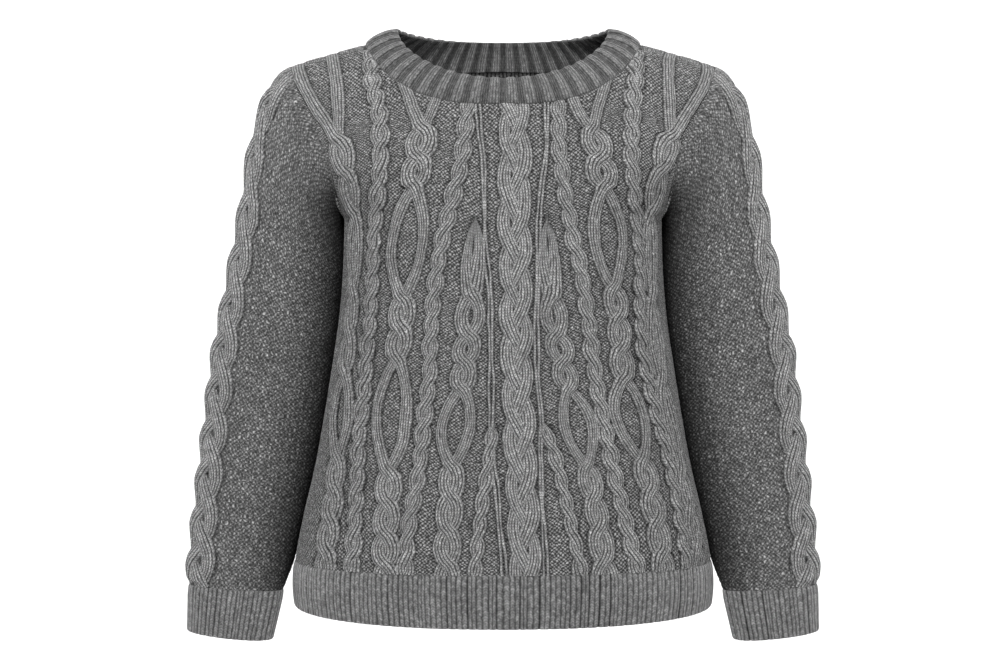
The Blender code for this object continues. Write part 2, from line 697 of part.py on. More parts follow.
def neck_ring(front, back):
    """From the wearer's right along the front to their left, and back behind the neck."""
    edges = []
    for name in ("outer", "inner", "normal"):
        ahead = getattr(front, name)[-1, front.corners[0] : front.corners[1] + 1]
        behind = getattr(back, name)[-1, back.corners[0] : back.corners[1] + 1][::-1]
        right, left = 0.5 * (ahead[0] + behind[-1]), 0.5 * (ahead[-1] + behind[0])
        edges.append(np.concatenate([[right], ahead[1:-1], [left], behind[1:-1]]))
    half = front.corners[1] - front.corners[0]
    first, last = front.corners
    front_few = front.few_high[(front.few_high >= first) & (front.few_high < last)] - first
    first, last = back.corners
    back_few = last - back.few_high[(back.few_high > first) & (back.few_high <= last)][::-1]
    outer, inner, normal = edges
    few = np.concatenate([front_few, half + back_few])
    return Ring(outer, inner, unit(normal), few, half, np.array([0, 0, 2 * OPENING_TOP]))


def tube_normals(rows):
    """Outward directions of a tube of closed rings of points."""
    over = np.roll(rows, -1, 1) - np.roll(rows, 1, 1)
    normal = unit(np.cross(over, np.gradient(rows, axis=0)))
    outward = rows - rows.mean(axis=1, keepdims=True)
    return normal * np.sign((normal * outward).sum(-1).mean())


def oval(outer_x, outer_z, inner_x, inner_z, depth, middle_y, sign, shares):
    """A ring of the sleeve on its two side lines, from its outermost point forward and round."""
    angle = 2 * math.pi * shares
    power = 2 / SLEEVE_POWER
    wide = np.sign(np.cos(angle)) * np.abs(np.cos(angle)) ** power
    deep = np.sign(np.sin(angle)) * np.abs(np.sin(angle)) ** power
    x = 0.5 * (outer_x + inner_x) + 0.5 * (outer_x - inner_x) * wide
    z = 0.5 * (outer_z + inner_z) + 0.5 * (outer_z - inner_z) * wide
    return np.stack([sign * x, middle_y - 0.5 * depth * deep, z], -1)


def round_length(ring):
    return lengths_along(np.concatenate([ring, ring[:1]]))[-1]


def along_ring(ring, distances):
    """Points of a dense closed ring at distances along it from its first point."""
    closed = np.concatenate([ring, ring[:1]])
    along = lengths_along(closed)
    at = np.mod(distances, along[-1])
    return np.stack([np.interp(at, along, closed[:, axis]) for axis in range(3)], -1)


def sleeve_ovals(ring, sign):
    """Dense rings down the sleeve, which leave the armhole's shape for plain ovals."""
    shares = np.linspace(0, 1, 96, endpoint=False)

    def oval_at(row):
        return oval(*(read(SLEEVE, name, row) for name in SLEEVE[0][1:]), sign, shares)

    table_rows = np.linspace(0, SLEEVE[-1][0], 131)
    along = lengths_along(np.array([oval_at(row).mean(axis=0) for row in table_rows]))
    even = np.linspace(0, along[-1], round(along[-1] / SLEEVE_ROW) + 1)
    rows = np.interp(even, along, table_rows)
    rows = np.concatenate([[0, 0.45], rows[rows > 0.9]])
    away = ring.at(shares, ring.outer) - oval_at(0)
    return [oval_at(row) + away * np.clip(1 - row / SLEEVE_BLEND, 0, 1) ** 2 for row in rows]


def sleeve_columns(length):
    """Distances round the sleeve of its columns: over the plait, then evenly round the rest."""
    plait = SLEEVE_PLAIT_FORWARD + SLEEVE_PLAIT_HALF * np.array([-1, -0.62, -0.2, 0.2, 0.62, 1])
    rest = np.linspace(plait[-1], length + plait[0], SLEEVE_PLAIN_COLUMNS + 1)[1:-1]
    return np.concatenate([plait, rest])


def sleeve(name, front, back, sign):
    """A set-in sleeve with a plait down its outer side, and the ring that its cuff is sewn to."""
    wall = Wall(name)
    ring = armhole_ring(front, back, sign)
    seam_outer, seam_inner = ring.start(wall)
    ovals = sleeve_ovals(ring, sign)
    lengths = [round_length(dense) for dense in ovals]
    columns = np.array([sleeve_columns(length) for length in lengths])
    points = np.array([along_ring(dense, distances) for dense, distances in zip(ovals, columns)])
    normal = tube_normals(points)
    down = lengths_along(points.mean(axis=1))[:, None]
    half, rise = STRANDS["plait"]
    half = half * SLEEVE_PLAIT_HALF / PLAIT_HALF
    lift = raised(plait_strands(down, SLEEVE_PLAIT_HALF - half), half, rise, columns - SLEEVE_PLAIT_FORWARD)
    lift[:, 6:] = 0
    lift[0] = lift[-1] = 0
    axis = unit(np.cross(points[-1, 4] - points[-1, 0], points[-1, 9] - points[-1, 0]))
    normal[-1] = unit(normal[-1] - axis * (normal[-1] @ axis)[:, None])
    few_rows = picked(np.arange(len(points) - 1), INSIDE_SLEEVE_ROWS, keep=(1, 2, len(points) - 2))
    few_columns = np.arange(points.shape[1])
    outer = wall.add((points + normal * lift[..., None])[1:])
    inner = wall.add((points - normal * WALL)[1:][few_rows])
    wall.grid(outer, closed=True)
    wall.grid(inner, closed=True)
    starts, ends = columns[0] / lengths[0], columns[-1] / lengths[-1]
    wall.join_rings(seam_outer, ring.places, outer[0], starts)
    wall.join_rings(seam_inner, ring.places[ring.few], inner[0], starts)
    wall.join_rings(outer[-1], ends, inner[-1], ends)
    last, beyond = points[-1], 2 * points[-1] - points[-2]
    inside = last - normal[-1] * WALL
    cuff_seam = Ring(last, inside, normal[-1], few_columns, len(last) // 2, beyond)
    cuff_seam.places = np.mod(ends, 1)
    return wall, cuff_seam


def rib_columns(count, profile):
    """Shares of the way along a band of so many ribs, and how far each column is raised."""
    shares = np.array([(rib + place) / count for rib in range(count) for place, _ in profile])
    return shares, np.array([rise for _ in range(count) for _, rise in profile]) * RIB_RISE


def ribbed_tube(wall, ring, rows, normals, rises, thickness):
    """A band of ribs on a closed ring: rows of columns from the seam to its free edge."""
    seam_outer, seam_inner = ring.start(wall)
    shares = np.arange(rows.shape[1]) / rows.shape[1]
    outer = wall.add(rows + normals * rises[..., None])
    few = np.arange(0, rows.shape[1], INSIDE_RIB_COLUMNS)
    inner = wall.add((rows - normals * thickness)[:, few])
    wall.grid(outer, closed=True)
    wall.grid(inner, closed=True)
    wall.join_rings(seam_outer, ring.places, outer[0], shares)
    wall.join_rings(seam_inner, ring.places[ring.few], inner[0], shares[few])
    wall.join_rings(outer[-1], shares, inner[-1], shares[few])


def cuff(name, ring, sign):
    """A ribbed cuff from the sleeve's end to the wrist."""
    wall = Wall(name)
    shares = np.linspace(0, 1, 96, endpoint=False)
    start = oval(*SLEEVE[-1][1:], sign, shares)
    end = oval(*CUFF_END, sign, shares)
    columns, rise = rib_columns(round(round_length(start) / CUFF_RIB), PLAIN_RIB)
    rows = []
    for down in (0.08, 1.0):
        dense = start + (end - start) * down
        rows.append(along_ring(dense, columns * round_length(dense)))
    rows = np.array(rows)
    normals = tube_normals(rows)
    rises = rise * np.array([0.6, 0.9])[:, None]
    ribbed_tube(wall, ring, rows, normals, rises, WALL)
    return wall


def neckband(front, back):
    """A ribbed band that stands up and in from the neckline."""
    wall = Wall("neckband")
    ring = neck_ring(front, back)
    around = round_length(ring.outer)
    columns, rise = rib_columns(2 * round(around / NECK_RIB / 2), ROUND_RIB)
    base, facing = ring.at(columns, ring.outer), ring.at(columns, ring.normal)
    angle = 2 * math.pi * np.linspace(0, 1, 241)
    ahead, sine = angle <= math.pi, np.abs(np.sin(angle))
    power = np.where(ahead, OPENING_POWER["front"], OPENING_POWER["back"])
    depth = np.where(ahead, -OPENING_DEPTH["front"], OPENING_DEPTH["back"]) * sine**power
    dip = np.where(ahead, OPENING_DIP["front"], OPENING_DIP["back"]) * sine**DIP_POWER
    opening = np.stack([-OPENING_HALF * np.cos(angle), depth, OPENING_TOP - dip], -1)
    halves = lengths_along(opening[:121]), lengths_along(opening[120:])
    places = np.concatenate([0.5 * halves[0] / halves[0][-1], 0.5 + 0.5 * halves[1][1:] / halves[1][-1]])
    top = np.stack([np.interp(columns, places, opening[:, axis]) for axis in range(3)], -1)
    levels = np.array([0.14, 0.55, 1.0])[:, None, None]
    rows = base + (top - base) * levels
    normals = tube_normals(np.concatenate([base[None], rows]))[1:]
    rows = rows + normals * BAND_SWELL * 4 * levels * (1 - levels)
    normals = unit(facing * (1 - levels) ** 3 + normals)
    rises = rise * np.array([0.8, 1.0, 0.6])[:, None]
    ribbed_tube(wall, ring, rows, normals, rises, BAND_WALL)
    return wall


def hem(side, cloth):
    """Half of the ribbed hem, from side seam to side seam."""
    wall = Wall("hem_" + side)
    ups = np.array([0.0, HEM_BAND - SEAM / 2])[:, None]
    shares, rise = rib_columns(round(2 * cloth.half(0.0) / HEM_RIB), PLAIN_RIB)
    shares, rise = np.append(shares, 1.0), np.append(rise, 0.0)
    ups = ups + np.array([HEM_LIFT, 0.0])[:, None] * (2 * shares - 1) ** 2
    across = (2 * shares - 1) * cloth.half(ups)
    normal = cloth.normal(across, ups) * (1, 1, 0)
    normal[:, [0, -1], 1] = 0
    normal = unit(normal)
    ground = cloth.at(across, ups) + normal * fold_depth(side, across, ups)[..., None]
    outer = ground + normal * (rise * np.array([0.6, 0.8])[:, None])[..., None]
    few = picked(np.arange(len(shares)), INSIDE_RIB_COLUMNS, keep=[len(shares) - 1])
    inner = (ground - normal * WALL)[:, few]
    plane = SEAM / 2 * (-1 if side == "front" else 1)
    outer[:, [0, -1], 1] = inner[:, [0, -1], 1] = plane
    outer, inner = wall.add(outer), wall.add(inner)
    wall.grid(outer)
    wall.grid(inner)
    width, height = np.arange(len(shares)), np.arange(2)
    wall.join(outer[0], width, inner[0], few)
    wall.join(outer[-1], width, inner[-1], few)
    wall.join(outer[:, 0], height, inner[:, 0], height)
    wall.join(outer[:, -1], height, inner[:, -1], height)
    return wall


def yarn(name):
    """Grey marl wool blend, knitted, with no shine of its own."""
    material = bpy.data.materials.new("yarn_" + name)
    material.use_nodes = True
    surface = material.node_tree.nodes["Principled BSDF"]
    surface.inputs["Base Color"].default_value = YARN["colour"]
    surface.inputs["Roughness"].default_value = YARN["roughness"]
    surface.inputs["Metallic"].default_value = 0.0
    material.diffuse_color = YARN["colour"]
    return material


def main():
    for old in list(bpy.data.objects):
        bpy.data.objects.remove(old)
    collection = bpy.data.collections.new("cable_knit_sweater")
    bpy.context.scene.collection.children.link(collection)
    front = Panel("front", FRONT_CABLES, FRONT_TRACKS)
    back = Panel("back", BACK_CABLES, BACK_TRACKS)
    walls = [front.wall(), back.wall(), neckband(front, back)]
    for side, sign in (("right", -1), ("left", 1)):
        arm, cuff_seam = sleeve("sleeve_" + side, front, back, sign)
        walls += [arm, cuff("cuff_" + side, cuff_seam, sign)]
    walls += [hem("front", front.cloth), hem("back", back.cloth)]
    for wall in walls:
        wall.build(collection, yarn(wall.name))


main()
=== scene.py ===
"""Looks of a crew neck pullover in cable knit, standing open as if worn, with nothing inside it.

Cloth is laid out in millimetres: how far across it lies from the centre line and how far up from the hem,
both along the cloth. The scene is in metres, X across the chest, the front facing -Y and Z up.
Right and left are the wearer's.
"""

import math

import bpy
import numpy as np
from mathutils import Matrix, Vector

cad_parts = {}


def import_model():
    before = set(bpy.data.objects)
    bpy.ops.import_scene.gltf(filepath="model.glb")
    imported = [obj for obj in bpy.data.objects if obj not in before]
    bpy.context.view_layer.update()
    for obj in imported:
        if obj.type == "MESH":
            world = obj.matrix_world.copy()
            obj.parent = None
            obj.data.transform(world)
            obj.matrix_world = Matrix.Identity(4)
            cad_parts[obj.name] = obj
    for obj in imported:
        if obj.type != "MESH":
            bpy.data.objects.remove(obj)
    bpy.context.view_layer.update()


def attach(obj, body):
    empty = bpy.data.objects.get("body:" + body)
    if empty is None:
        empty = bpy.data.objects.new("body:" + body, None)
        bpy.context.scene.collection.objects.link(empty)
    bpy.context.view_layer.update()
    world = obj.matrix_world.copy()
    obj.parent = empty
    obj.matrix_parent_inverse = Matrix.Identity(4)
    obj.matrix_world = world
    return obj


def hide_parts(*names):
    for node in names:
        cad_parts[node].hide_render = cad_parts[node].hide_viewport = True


MM = 0.001

# Sizes of the garment
WALL = 2.4
SEAM = 0.06  # what stays open where two pieces are linked
HEM_Z = -580.0
HEM_BAND = 52.0
HEM_LIFT = 9.0  # how far the hem's edge rises towards the side seams
CHEST_UP = 400.0  # above this the body rolls over the shoulders
CHEST_Z = HEM_Z + CHEST_UP
RING_POWER = 2.4  # 2 gives ellipses, more gives squarer rings
SHOULDER_LINE_PEAK = 20.0
SHOULDER_LINE_REACH = 138.0
SHOULDER_LINE_POWER = 1.65
SHOULDER_WIDENING = 81.0
ROLL = (100.0, 185.0)  # half axes of the curve on which the cloth rolls over
FULLER_AT_SHOULDER = {"front": -0.25, "back": 0.4}
NECK_HALF = 143.0
NECK_POWERS = (2.5, 2.0)
NECK_DROP = {"front": 128.8, "back": 67.9}
OPENING_HALF = 109.0
OPENING_TOP = 16.2
# How far the neck's opening reaches to the front and back, by which power of the sine, and how far it dips there
OPENING = ((-78.0, 1.0, 63.4), (75.0, 1.4, 1.5))
OPENING_POINTS = 240  # in each half
DIP_POWER = 1.15
BAND_WALL = 3.2
BAND_SWELL = 2.5  # how far the neckband bulges half way up

# Gauge of the knitting
COURSE = 2.7  # height of one row of stitches
PURL = (2.15, 1.6)  # half of the pitch of the purl bars of the ground, across and up
MOSS = (2.35, 2.3)  # the same for the moss stitch of the sleeves
BAR_RISE = 0.32
MOSS_RISE = 0.4
UNEVEN = 0.9  # how far a bar or dot may lie from its place, as a share of the half pitch
SHOULDER_EASE = 1.2  # how much taller the courses are than elsewhere, on average, over the shoulder
COURSE_LEAN = 1.8  # how far the courses rise where the cables lean
COURSE_LEAN_MOST = 16.0
COURSE_LEAN_FADE = (60.0, 70.0)  # they lean fully only this far from the hem and from the neckline
COURSE_LEAN_POWER = 6  # the higher it is, the nearer to the side seams they do
CLEAR_OF_EDGE = 0.5  # a column nearer to an edge than this ends on it
CLEAR_OF_SEAM = 4.0  # a bar nearer to a side seam or an armhole than this keeps its place
CLEAR_OF_CORNER = 3.0  # the same at the two ends of the neckline
CORNER_COLUMNS = (1.2, 0.7, 0.35, 0.12)  # how far inside these ends there are more columns of points
CLOTH_TABLE = (240, 121)  # up and across, the places at which a panel's cloth is measured
INSIDE_STEPS = {"panel": (8, 6), "sleeve": (6, 4)}  # the inside has one point for so many outside, up and across
SHARP = math.radians(82)  # an edge sharper than this isn't smoothed

BODY = (
    ("up", "half_width", "front", "back"),
    (0, 211.0, 120.0, 111.0),
    (25, 213.5, 123.0, 114.0),
    (52, 212.0, 125.0, 115.0),
    (100, 203.0, 121.0, 112.0),
    (150, 191.5, 116.0, 109.0),
    (200, 182.5, 112.0, 106.0),
    (250, 174.5, 109.0, 103.0),
    (300, 167.5, 108.0, 101.0),
    (350, 163.5, 107.5, 100.0),
    (400, 162.0, 107.0, 100.0),
)

ARMHOLE = (
    ("up", "front", "back"),
    (400, 224, 222),
    (406, 209, 208),
    (416, 197, 198),
    (434, 189, 191),
    (460, 187, 188),
    (495, 196, 195),
    (519, 203, 202),
    (549, 213, 212),
    (590, 220, 220),
    (629, 225, 225),
)

# Where the middle of each cable runs, across from the centre line. A cable's name starts with its kind.
FRONT_TRACKS = (
    ("up", "shoulder_r", "rope_r", "oval_r", "slim_r", "wedge_r", "rib_r", "plait",
     "rib_l", "wedge_l", "slim_l", "oval_l", "rope_l", "shoulder_l"),
    (52, -184, -152, -114, -94, -54, -13, 22, 58, 99, 132, 161, 192, 212),
    (100, -180, -149, -113, -90, -52, -13, 19, 52, 92, 120, 154, 186, 204),
    (150, -175, -147, -112, -81, -49, -12, 17, 45, 82, 107, 142, 176, 193),
    (200, -173, -144, -110, -75, -45, -11, 15, 37, 72, 98, 127, 161, 178),
    (250, -170, -139, -105, -71, -37, -11, 14, 33, 59, 88, 119, 147, 168),
    (300, -167, -136, -100, -69, -31, -12, 13, 33, 49, 82, 114, 143, 164),
    (350, -165, -134, -97, -63, -30, -15, 12, 34, 45, 74, 107, 143, 162),
    (400, -164, -130, -91, -52, -25, -17, 11, 35, 41, 63, 103, 138, 161),
    (450, -166, -122, -83, -39, -19, -20, 11, 41, 38, 56, 95, 128, 166),
    (500, -174, -123, -78, -34, -24, -25, 10, 43, 42, 54, 82, 128, 176),
    (550, -187, -132, -82, -38, -27, -27, 10, 45, 45, 57, 84, 134, 187),
    (629, -199, -134, -86, -42, -30, -30, 10, 48, 48, 60, 88, 134, 197),
)

BACK_TRACKS = (
    ("up", "rope_r", "oval_r", "plait", "oval_l", "rope_l"),
    (52, -138, -74, 0, 74, 138),
    (200, -124, -66, 0, 66, 124),
    (350, -112, -60, 0, 60, 112),
    (500, -112, -60, 0, 60, 112),
    (629, -118, -62, 0, 62, 118),
)

# Where two strands cross, up from the hem, and how far each swings out from the middle above that crossing
CROSSINGS = {
    "oval_r": ((34, 7), (62, 7), (90, 7), (120, 7), (150, 16), (258, 7.5), (288, 7.5), (318, 15.5),
               (424, 9), (452, 9), (481, 21), (640, 0)),
    "oval_l": ((42, 7), (70, 7), (100, 7), (130, 7), (160, 16), (238, 7), (268, 7.5), (298, 7.5), (328, 15.5),
               (424, 9), (452, 9), (481, 21), (640, 0)),
    "wedge_r": ((34, 6.5), (64, 6.5), (95, 6.5), (126, 6.5), (157, 14), (229, 7.5), (255, 8), (281, 8),
                (318, 6), (392, 0)),
    "wedge_l": ((34, 6.5), (64, 6.5), (95, 6.5), (125, 6.5), (155, 14), (229, 7.5), (255, 8), (281, 8),
                (317, 6), (392, 0)),
    "shoulder_r": ((40, 6.5), (70, 6.5), (100, 6.5), (130, 6.5), (162, 12.5), (245, 7), (286, 7), (325, 8.5),
                   (403, 8.5), (444, 8.5), (482, 19.5), (700, 0)),
    "shoulder_l": ((36, 6.5), (72, 6.5), (108, 6.5), (146, 7.5), (236, 7.5), (322, 8.5), (405, 8.5), (447, 9),
                   (486, 20.5), (700, 0)),
    "back_oval": ((34, 7), (62, 7), (92, 7), (122, 15), (222, 7), (252, 7), (282, 15), (382, 7),
                  (412, 7), (442, 15), (542, 7), (572, 7), (640, 0)),
}
SWING_POWER = 0.75  # the less it is, the rounder the openings are
CROSS_REACH = 15.0  # a strand climbs over or dives under another within this of the crossing
OPEN_REACH = 12.0  # strands that swing out less than this are drawn close together
TIGHT_FULL = 1.28  # how much fuller they are there
WEDGE_TOP = 396.0  # up from the hem
WEDGE_POINT = (318, 392)  # from here to here the wedge runs out to a point
WEDGE_FULL = 1.4  # how much fuller its strands start out there
WEDGE_TIP = 1.8  # half their width at the point

RIB_SPREAD = (
    ("up", "rib_r", "rib_l"),
    (52, 14.0, 17.0),
    (100, 9.8, 13.5),
    (150, 5.0, 8.8),
    (200, 2.3, 3.2),
    (250, 1.7, 1.7),
    (629, 1.7, 1.7),
)
RIB_APART = 1.6  # half of the pitch of the two narrow ribs
RIB_PARTED = 5.0  # the rope has left them fully where they spread this much more than at their top
RIB_ROPE_TOP = 196.0  # up from the hem, where the rope beside them starts

ROPE_PITCH = 21.0
ROPE_SWING = 0.72  # as a share of half the strand's width
PLAIT_PITCH = 42.0
PLAIT_HALF = 16.8
SLEEVE_PLAIT_HALF = 23.5
SLEEVE_PLAIT_FORWARD = 20.0  # from the outermost line of the sleeve

# Each kind of strand: half its width, how far it stands up, and its columns of stitches
STRANDS = {
    "plait": (7.2, 5.0, 5),
    "rope": (6.2, 4.5, 4),
    "slim": (5.5, 4.1, 4),
    "oval": (6.3, 4.8, 5),
    "wedge": (5.8, 4.6, 5),
    "rib": (1.7, 2.8, 1),
    "rib_rope": (4.6, 3.8, 3),
    "shoulder": (7.5, 4.4, 5),
    "arm": (9.2, 5.4, 6),
}
STRAND_TABLE = np.arange(30.0, 660.0, 1.0)  # where up the cloth a strand is worked out
STRAND_STEP = 3.4
POINTS_PER_WALE = 4
WALE_GROOVE = 0.8
TUCK = 1.0  # how deep a strand's edges lie in the ground
SINK = 0.2  # how deep the whole strand does
DITCH = 0.9  # how far the ground falls beside it
DITCH_WIDTH = 1.5
UNDER_OVER = (0.68, 0.42)  # rise of a strand alone, and how much more or less it is where it crosses over or under
WIDER_OVER = (0.94, 0.08)  # the same for its width
STRETCH_MOST = 1.5  # a slanting strand is wider across, but no more than this
TOP_REACH = 150.0  # the front's neckline is nowhere further below the shoulder seam
TOP_SLANT = 20.0  # most that one edge of a strand may run on above its middle at the neckband
SLANT_OVER = 90.0  # the slant comes within this of its top
FLAT_AT_SEAM = (46.0, 0.02)  # a strand flattens within this of the shoulder seam, to this share of its rise
FLAT_AT_END = (7.0, 0.35)  # the same at every other end
SLEEVE_PLAIT_START = (36.0, 0.1)  # the same where the plait of a sleeve starts
POINTED_END = (16.0, 0.3)  # a strand that ends on open cloth narrows within this, to this share of its width
CLEAR_OF_ARMHOLE = 1.0  # a strand stays this far inside it
AT_SEAM = 3.0  # a strand that ends nearer to the shoulder seam than this ends on it

# No two stitches, strands or ribs are alike
DRAWS = {"front": 11, "back": 12, "right": 13, "left": 14}  # seeds of the unevenness of each piece
STRAND_DRAWS, RIB_DRAWS = 100, 200  # what is added to them for the strands and the ribs
STRAY = 0.7  # how far a strand strays sideways
UNEVEN_HALF = 0.07
UNEVEN_RISE = 0.12
CHANGE_EVERY = 14.0
WANDER = 0.2  # how far its single points stray, and half as far up and down
UNEVEN_RIB = 0.2  # how far a furrow lies from its place, as a share of the ribs' pitch
SHALLOW_FURROW = 0.88  # how far the shallowest furrow is filled

SLEEVE = (
    ("row", "outer_x", "outer_z", "inner_x", "inner_z", "depth", "middle_y"),
    (0, 221.0, -23.0, 162.0, -180.0, 94, 0),
    (1, 231.0, -29.5, 164.0, -175.5, 94, 4),
    (2, 242.0, -45.0, 164.0, -187.0, 92, 10),
    (3, 252.0, -72.0, 163.0, -199.0, 88, 17),
    (4, 262.0, -105.0, 162.8, -214.0, 82, 22),
    (5, 271.0, -158.0, 164.0, -237.0, 76, 26),
    (6, 281.0, -211.0, 168.0, -270.0, 72, 28),
    (7, 291.0, -263.0, 172.5, -308.0, 70, 28),
    (8, 300.8, -314.0, 179.0, -350.0, 68, 27),
    (9, 307.0, -366.0, 186.5, -395.0, 66, 25),
    (10, 313.0, -417.0, 195.0, -440.0, 64, 23),
    (11, 318.3, -469.0, 205.0, -487.0, 62, 20),
    (12, 323.4, -520.0, 217.5, -533.0, 59, 16),
    (13, 325.0, -556.0, 228.5, -562.5, 56, 13),
)
CUFF_END = (325.5, -604.0, 240.0, -614.0, 53, 10)
SLEEVE_POWER = 2.2
SLEEVE_BLEND = 4.0  # rows over which the armhole's shape gives way to plain ovals
SLEEVE_DITCH_ENDS = (25.0, 10.0)  # how far from its two ends the ground falls fully beside the plait
RING_SHARES = np.linspace(0, 1, 240, endpoint=False)  # the points of a dense ring

# Soft folds of each piece: the middle's place across and up, length, width, depth, and how far it leans.
# On a sleeve the place is round from its outermost line and down from the shoulder, and the folds fade out
# towards its seams.
SLEEVE_FOLDS_CLEAR = 40.0
FOLDS = {
    "front": (
        (-5, 62, 90, 14, 2.2, 0.02),
        (-176, 330, 170, 40, 2.8, 0.10),
        (178, 320, 180, 42, 2.8, -0.12),
        (-150, 90, 190, 50, 3.0, -0.12),
        (120, 70, 160, 52, 2.6, 0.10),
        (40, 40, 110, 46, 2.0, 0.05),
    ),
    "back": (
        (-150, 330, 190, 44, 3.0, 0.16),
        (152, 345, 200, 42, 3.0, -0.14),
        (-70, 120, 240, 54, 3.4, -0.06),
        (46, 150, 200, 50, 3.0, 0.05),
        (150, 90, 190, 52, 3.0, 0.10),
        (0, 470, 150, 64, 2.8, 0.0),
    ),
    "right": (
        (152, 60, 130, 30, 2.6, -0.45),
        (92, 215, 150, 40, 1.6, -0.55),
        (-70, 250, 170, 44, 3.0, 0.50),
        (-118, 90, 140, 40, 2.8, 0.30),
        (66, 395, 150, 36, 1.6, 0.35),
        (-48, 430, 150, 38, 2.6, -0.30),
    ),
    "left": (
        (150, 66, 140, 32, 2.6, -0.40),
        (84, 240, 160, 42, 1.6, -0.50),
        (-76, 270, 160, 42, 3.0, 0.45),
        (-112, 84, 150, 40, 2.8, 0.35),
        (70, 415, 140, 34, 1.6, 0.30),
        (-52, 400, 160, 40, 2.6, -0.35),
    ),
}

# Each ribbed band: the pitch of its ribs, how far they stand up, and the painted shade of its furrows
NECK_RIB, NECK_RELIEF, NECK_FURROW_SHADE = 17.5, 2.6, 0.86
EDGE_RIB, EDGE_RELIEF, EDGE_FURROW_SHADE = 9.5, 1.9, 1.3
INSIDE_RELIEF = 0.6  # of a band, as a share of its relief outside
EDGE_ROUND = 0.9  # how far its free edge bulges, as a share of half the wall
# One rib from furrow to furrow: share of its pitch, and share of its rise
NECK_PROFILE = (
    (0.00, 0.00), (0.10, 0.02), (0.19, 0.08), (0.24, 0.42), (0.29, 0.85), (0.34, 1.00), (0.42, 0.96),
    (0.50, 0.80), (0.58, 0.96), (0.66, 1.00), (0.71, 0.85), (0.76, 0.42), (0.81, 0.08), (0.90, 0.02),
)
EDGE_PROFILE = (
    (0.00, 0.00), (0.07, 0.20), (0.15, 0.72), (0.28, 1.00), (0.42, 0.97), (0.50, 0.86), (0.58, 0.97),
    (0.72, 1.00), (0.85, 0.72), (0.93, 0.20),
)
# The columns of stitches: where the rib of the neckband starts and ends, and how many a rib of an edge has
NECK_WALES = ((0, 0.25, 0.75, 1), (0, 2, 5, 7))
EDGE_WALES = 2
# Down each band: its second, third and last row of points, how many there are from the third on, and how far the
# ribs are raised at some places from the seam to the edge
BAND_ROWS = {
    "neck": (0.03, 0.09, 0.965, 13, (0, 0.05, 0.3, 0.8, 1), (0.2, 0.8, 1, 1, 0.7)),
    "cuff": (0.04, 0.12, 0.96, 14, (0, 0.05, 0.2, 1), (0.1, 0.7, 1, 0.85)),
    "hem": (0.03, 0.1, 0.97, 16, (0, 0.04, 0.2, 1), (0.1, 0.7, 1, 0.85)),
}

# Painted shade on a point is 0 on open cloth and 1 deep beside or under a cable. It is less than 0 where a cable is
# painted lighter because it stands out, and more where little light falls.
# painted light: how much lighter the plait is painted, as it stands out most
PLAIT_PAINTED_LIGHT = 0.2
EDGE_SHADE_POWER = 9  # the painted shade at the edges of a strand is narrower the higher this power is
UNDER_SHADE = 0.6  # the most painted shade on a strand where another passes over it
INSIDE_SHADE = 0.38  # painted shade on the inside of the bands, near the light
GROUND_INSIDE_SHADE = 1.1  # painted shade on the inside of the front and the back
# Painted shade between arm and body, on the sleeve and on the body: within which gap, how much where they touch,
# and the power by which it fades
ARM_SHADE = (60.0, 1.8, 1.3)
SIDE_SHADE = (90.0, 0.6, 1.2)
SHADE_TOP = -112.0  # only below this height is there a gap between them, with painted shade in it
SHADE_FADE = 60.0

MIDDLE = (0.0, 0.0, -0.3)  # of the garment
# Each lamp: its place, size, power, and where it points. The two boards light the sides and the floor behind.
LAMPS = (
    ("key", (-0.3, -2.2, 1.6), 0.7, 113.0, MIDDLE),
    ("fill", (0.9, -2.4, 0.3), 1.4, 26.0, MIDDLE),
    ("back_fill", (0.0, 2.4, 1.2), 1.8, 45.0, MIDDLE),
    ("board_right", (-2.6, 0.6, 0.4), 1.4, 120.0, (-0.78, 4.5, -0.2)),
    ("board_left", (2.6, 0.6, 0.4), 1.4, 120.0, (0.78, 4.5, -0.2)),
)
ALL_ROUND = 0.2  # strength of the white light from all sides
CAMERA_AWAY = 1.6
FRAME_WIDTH = 1008  # in pixels
PIXEL = 1.03 * MM  # what one pixel spans at the middle of the garment
FLOOR_Z = -1.4  # the floor under a wearer of this size
# The floor is flat from here to here, bends up with this radius, and ends at this height. It is twice this wide.
SWEEP_FRONT, SWEEP_BACK, SWEEP_BEND, SWEEP_TOP, SWEEP_HALF = -6.0, 3.0, 1.5, 5.0, 8.0
FLOOR = "#f4f4f4"
YARN = "#969696"

KNIT, PURLED, MOSSED, RIBBED = 0, 1, 2, 3  # the finishes of a piece


def read(table, name, at):
    """A column of a table on a smooth curve through its rows, the first column being the place."""
    rows = np.array(table[1:], float)
    place, value = rows[:, 0], rows[:, table[0].index(name)]
    slope = np.gradient(value, place)
    at = np.clip(at, place[0], place[-1])
    row = np.clip(np.searchsorted(place, at, side="right") - 1, 0, len(place) - 2)
    span = place[row + 1] - place[row]
    t = (at - place[row]) / span
    start = (1 + 2 * t) * (1 - t) ** 2 * value[row] + t * (1 - t) ** 2 * span * slope[row]
    end = t * t * (3 - 2 * t) * value[row + 1] + t * t * (t - 1) * span * slope[row + 1]
    return start + end


def unit(vectors):
    return vectors / np.linalg.norm(vectors, axis=-1, keepdims=True)


def smooth(share):
    share = np.clip(share, 0, 1)
    return share * share * (3 - 2 * share)


def softened(values, width):
    """Each value mixed with its neighbours."""
    window = np.hanning(width) / np.hanning(width).sum()
    return np.convolve(np.pad(values, width // 2, mode="edge"), window, mode="valid")


def lengths_along(points):
    """Distance along a line of points from its first one, the line running down the second last axis."""
    steps = np.linalg.norm(np.diff(points, axis=-2), axis=-1)
    return np.concatenate([np.zeros_like(steps[..., :1]), np.cumsum(steps, axis=-1)], axis=-1)


def points_at(at, places, points):
    """Points on the line through the given ones, each of which has its place along it."""
    return np.stack([np.interp(at, places, points[:, axis]) for axis in range(3)], -1)


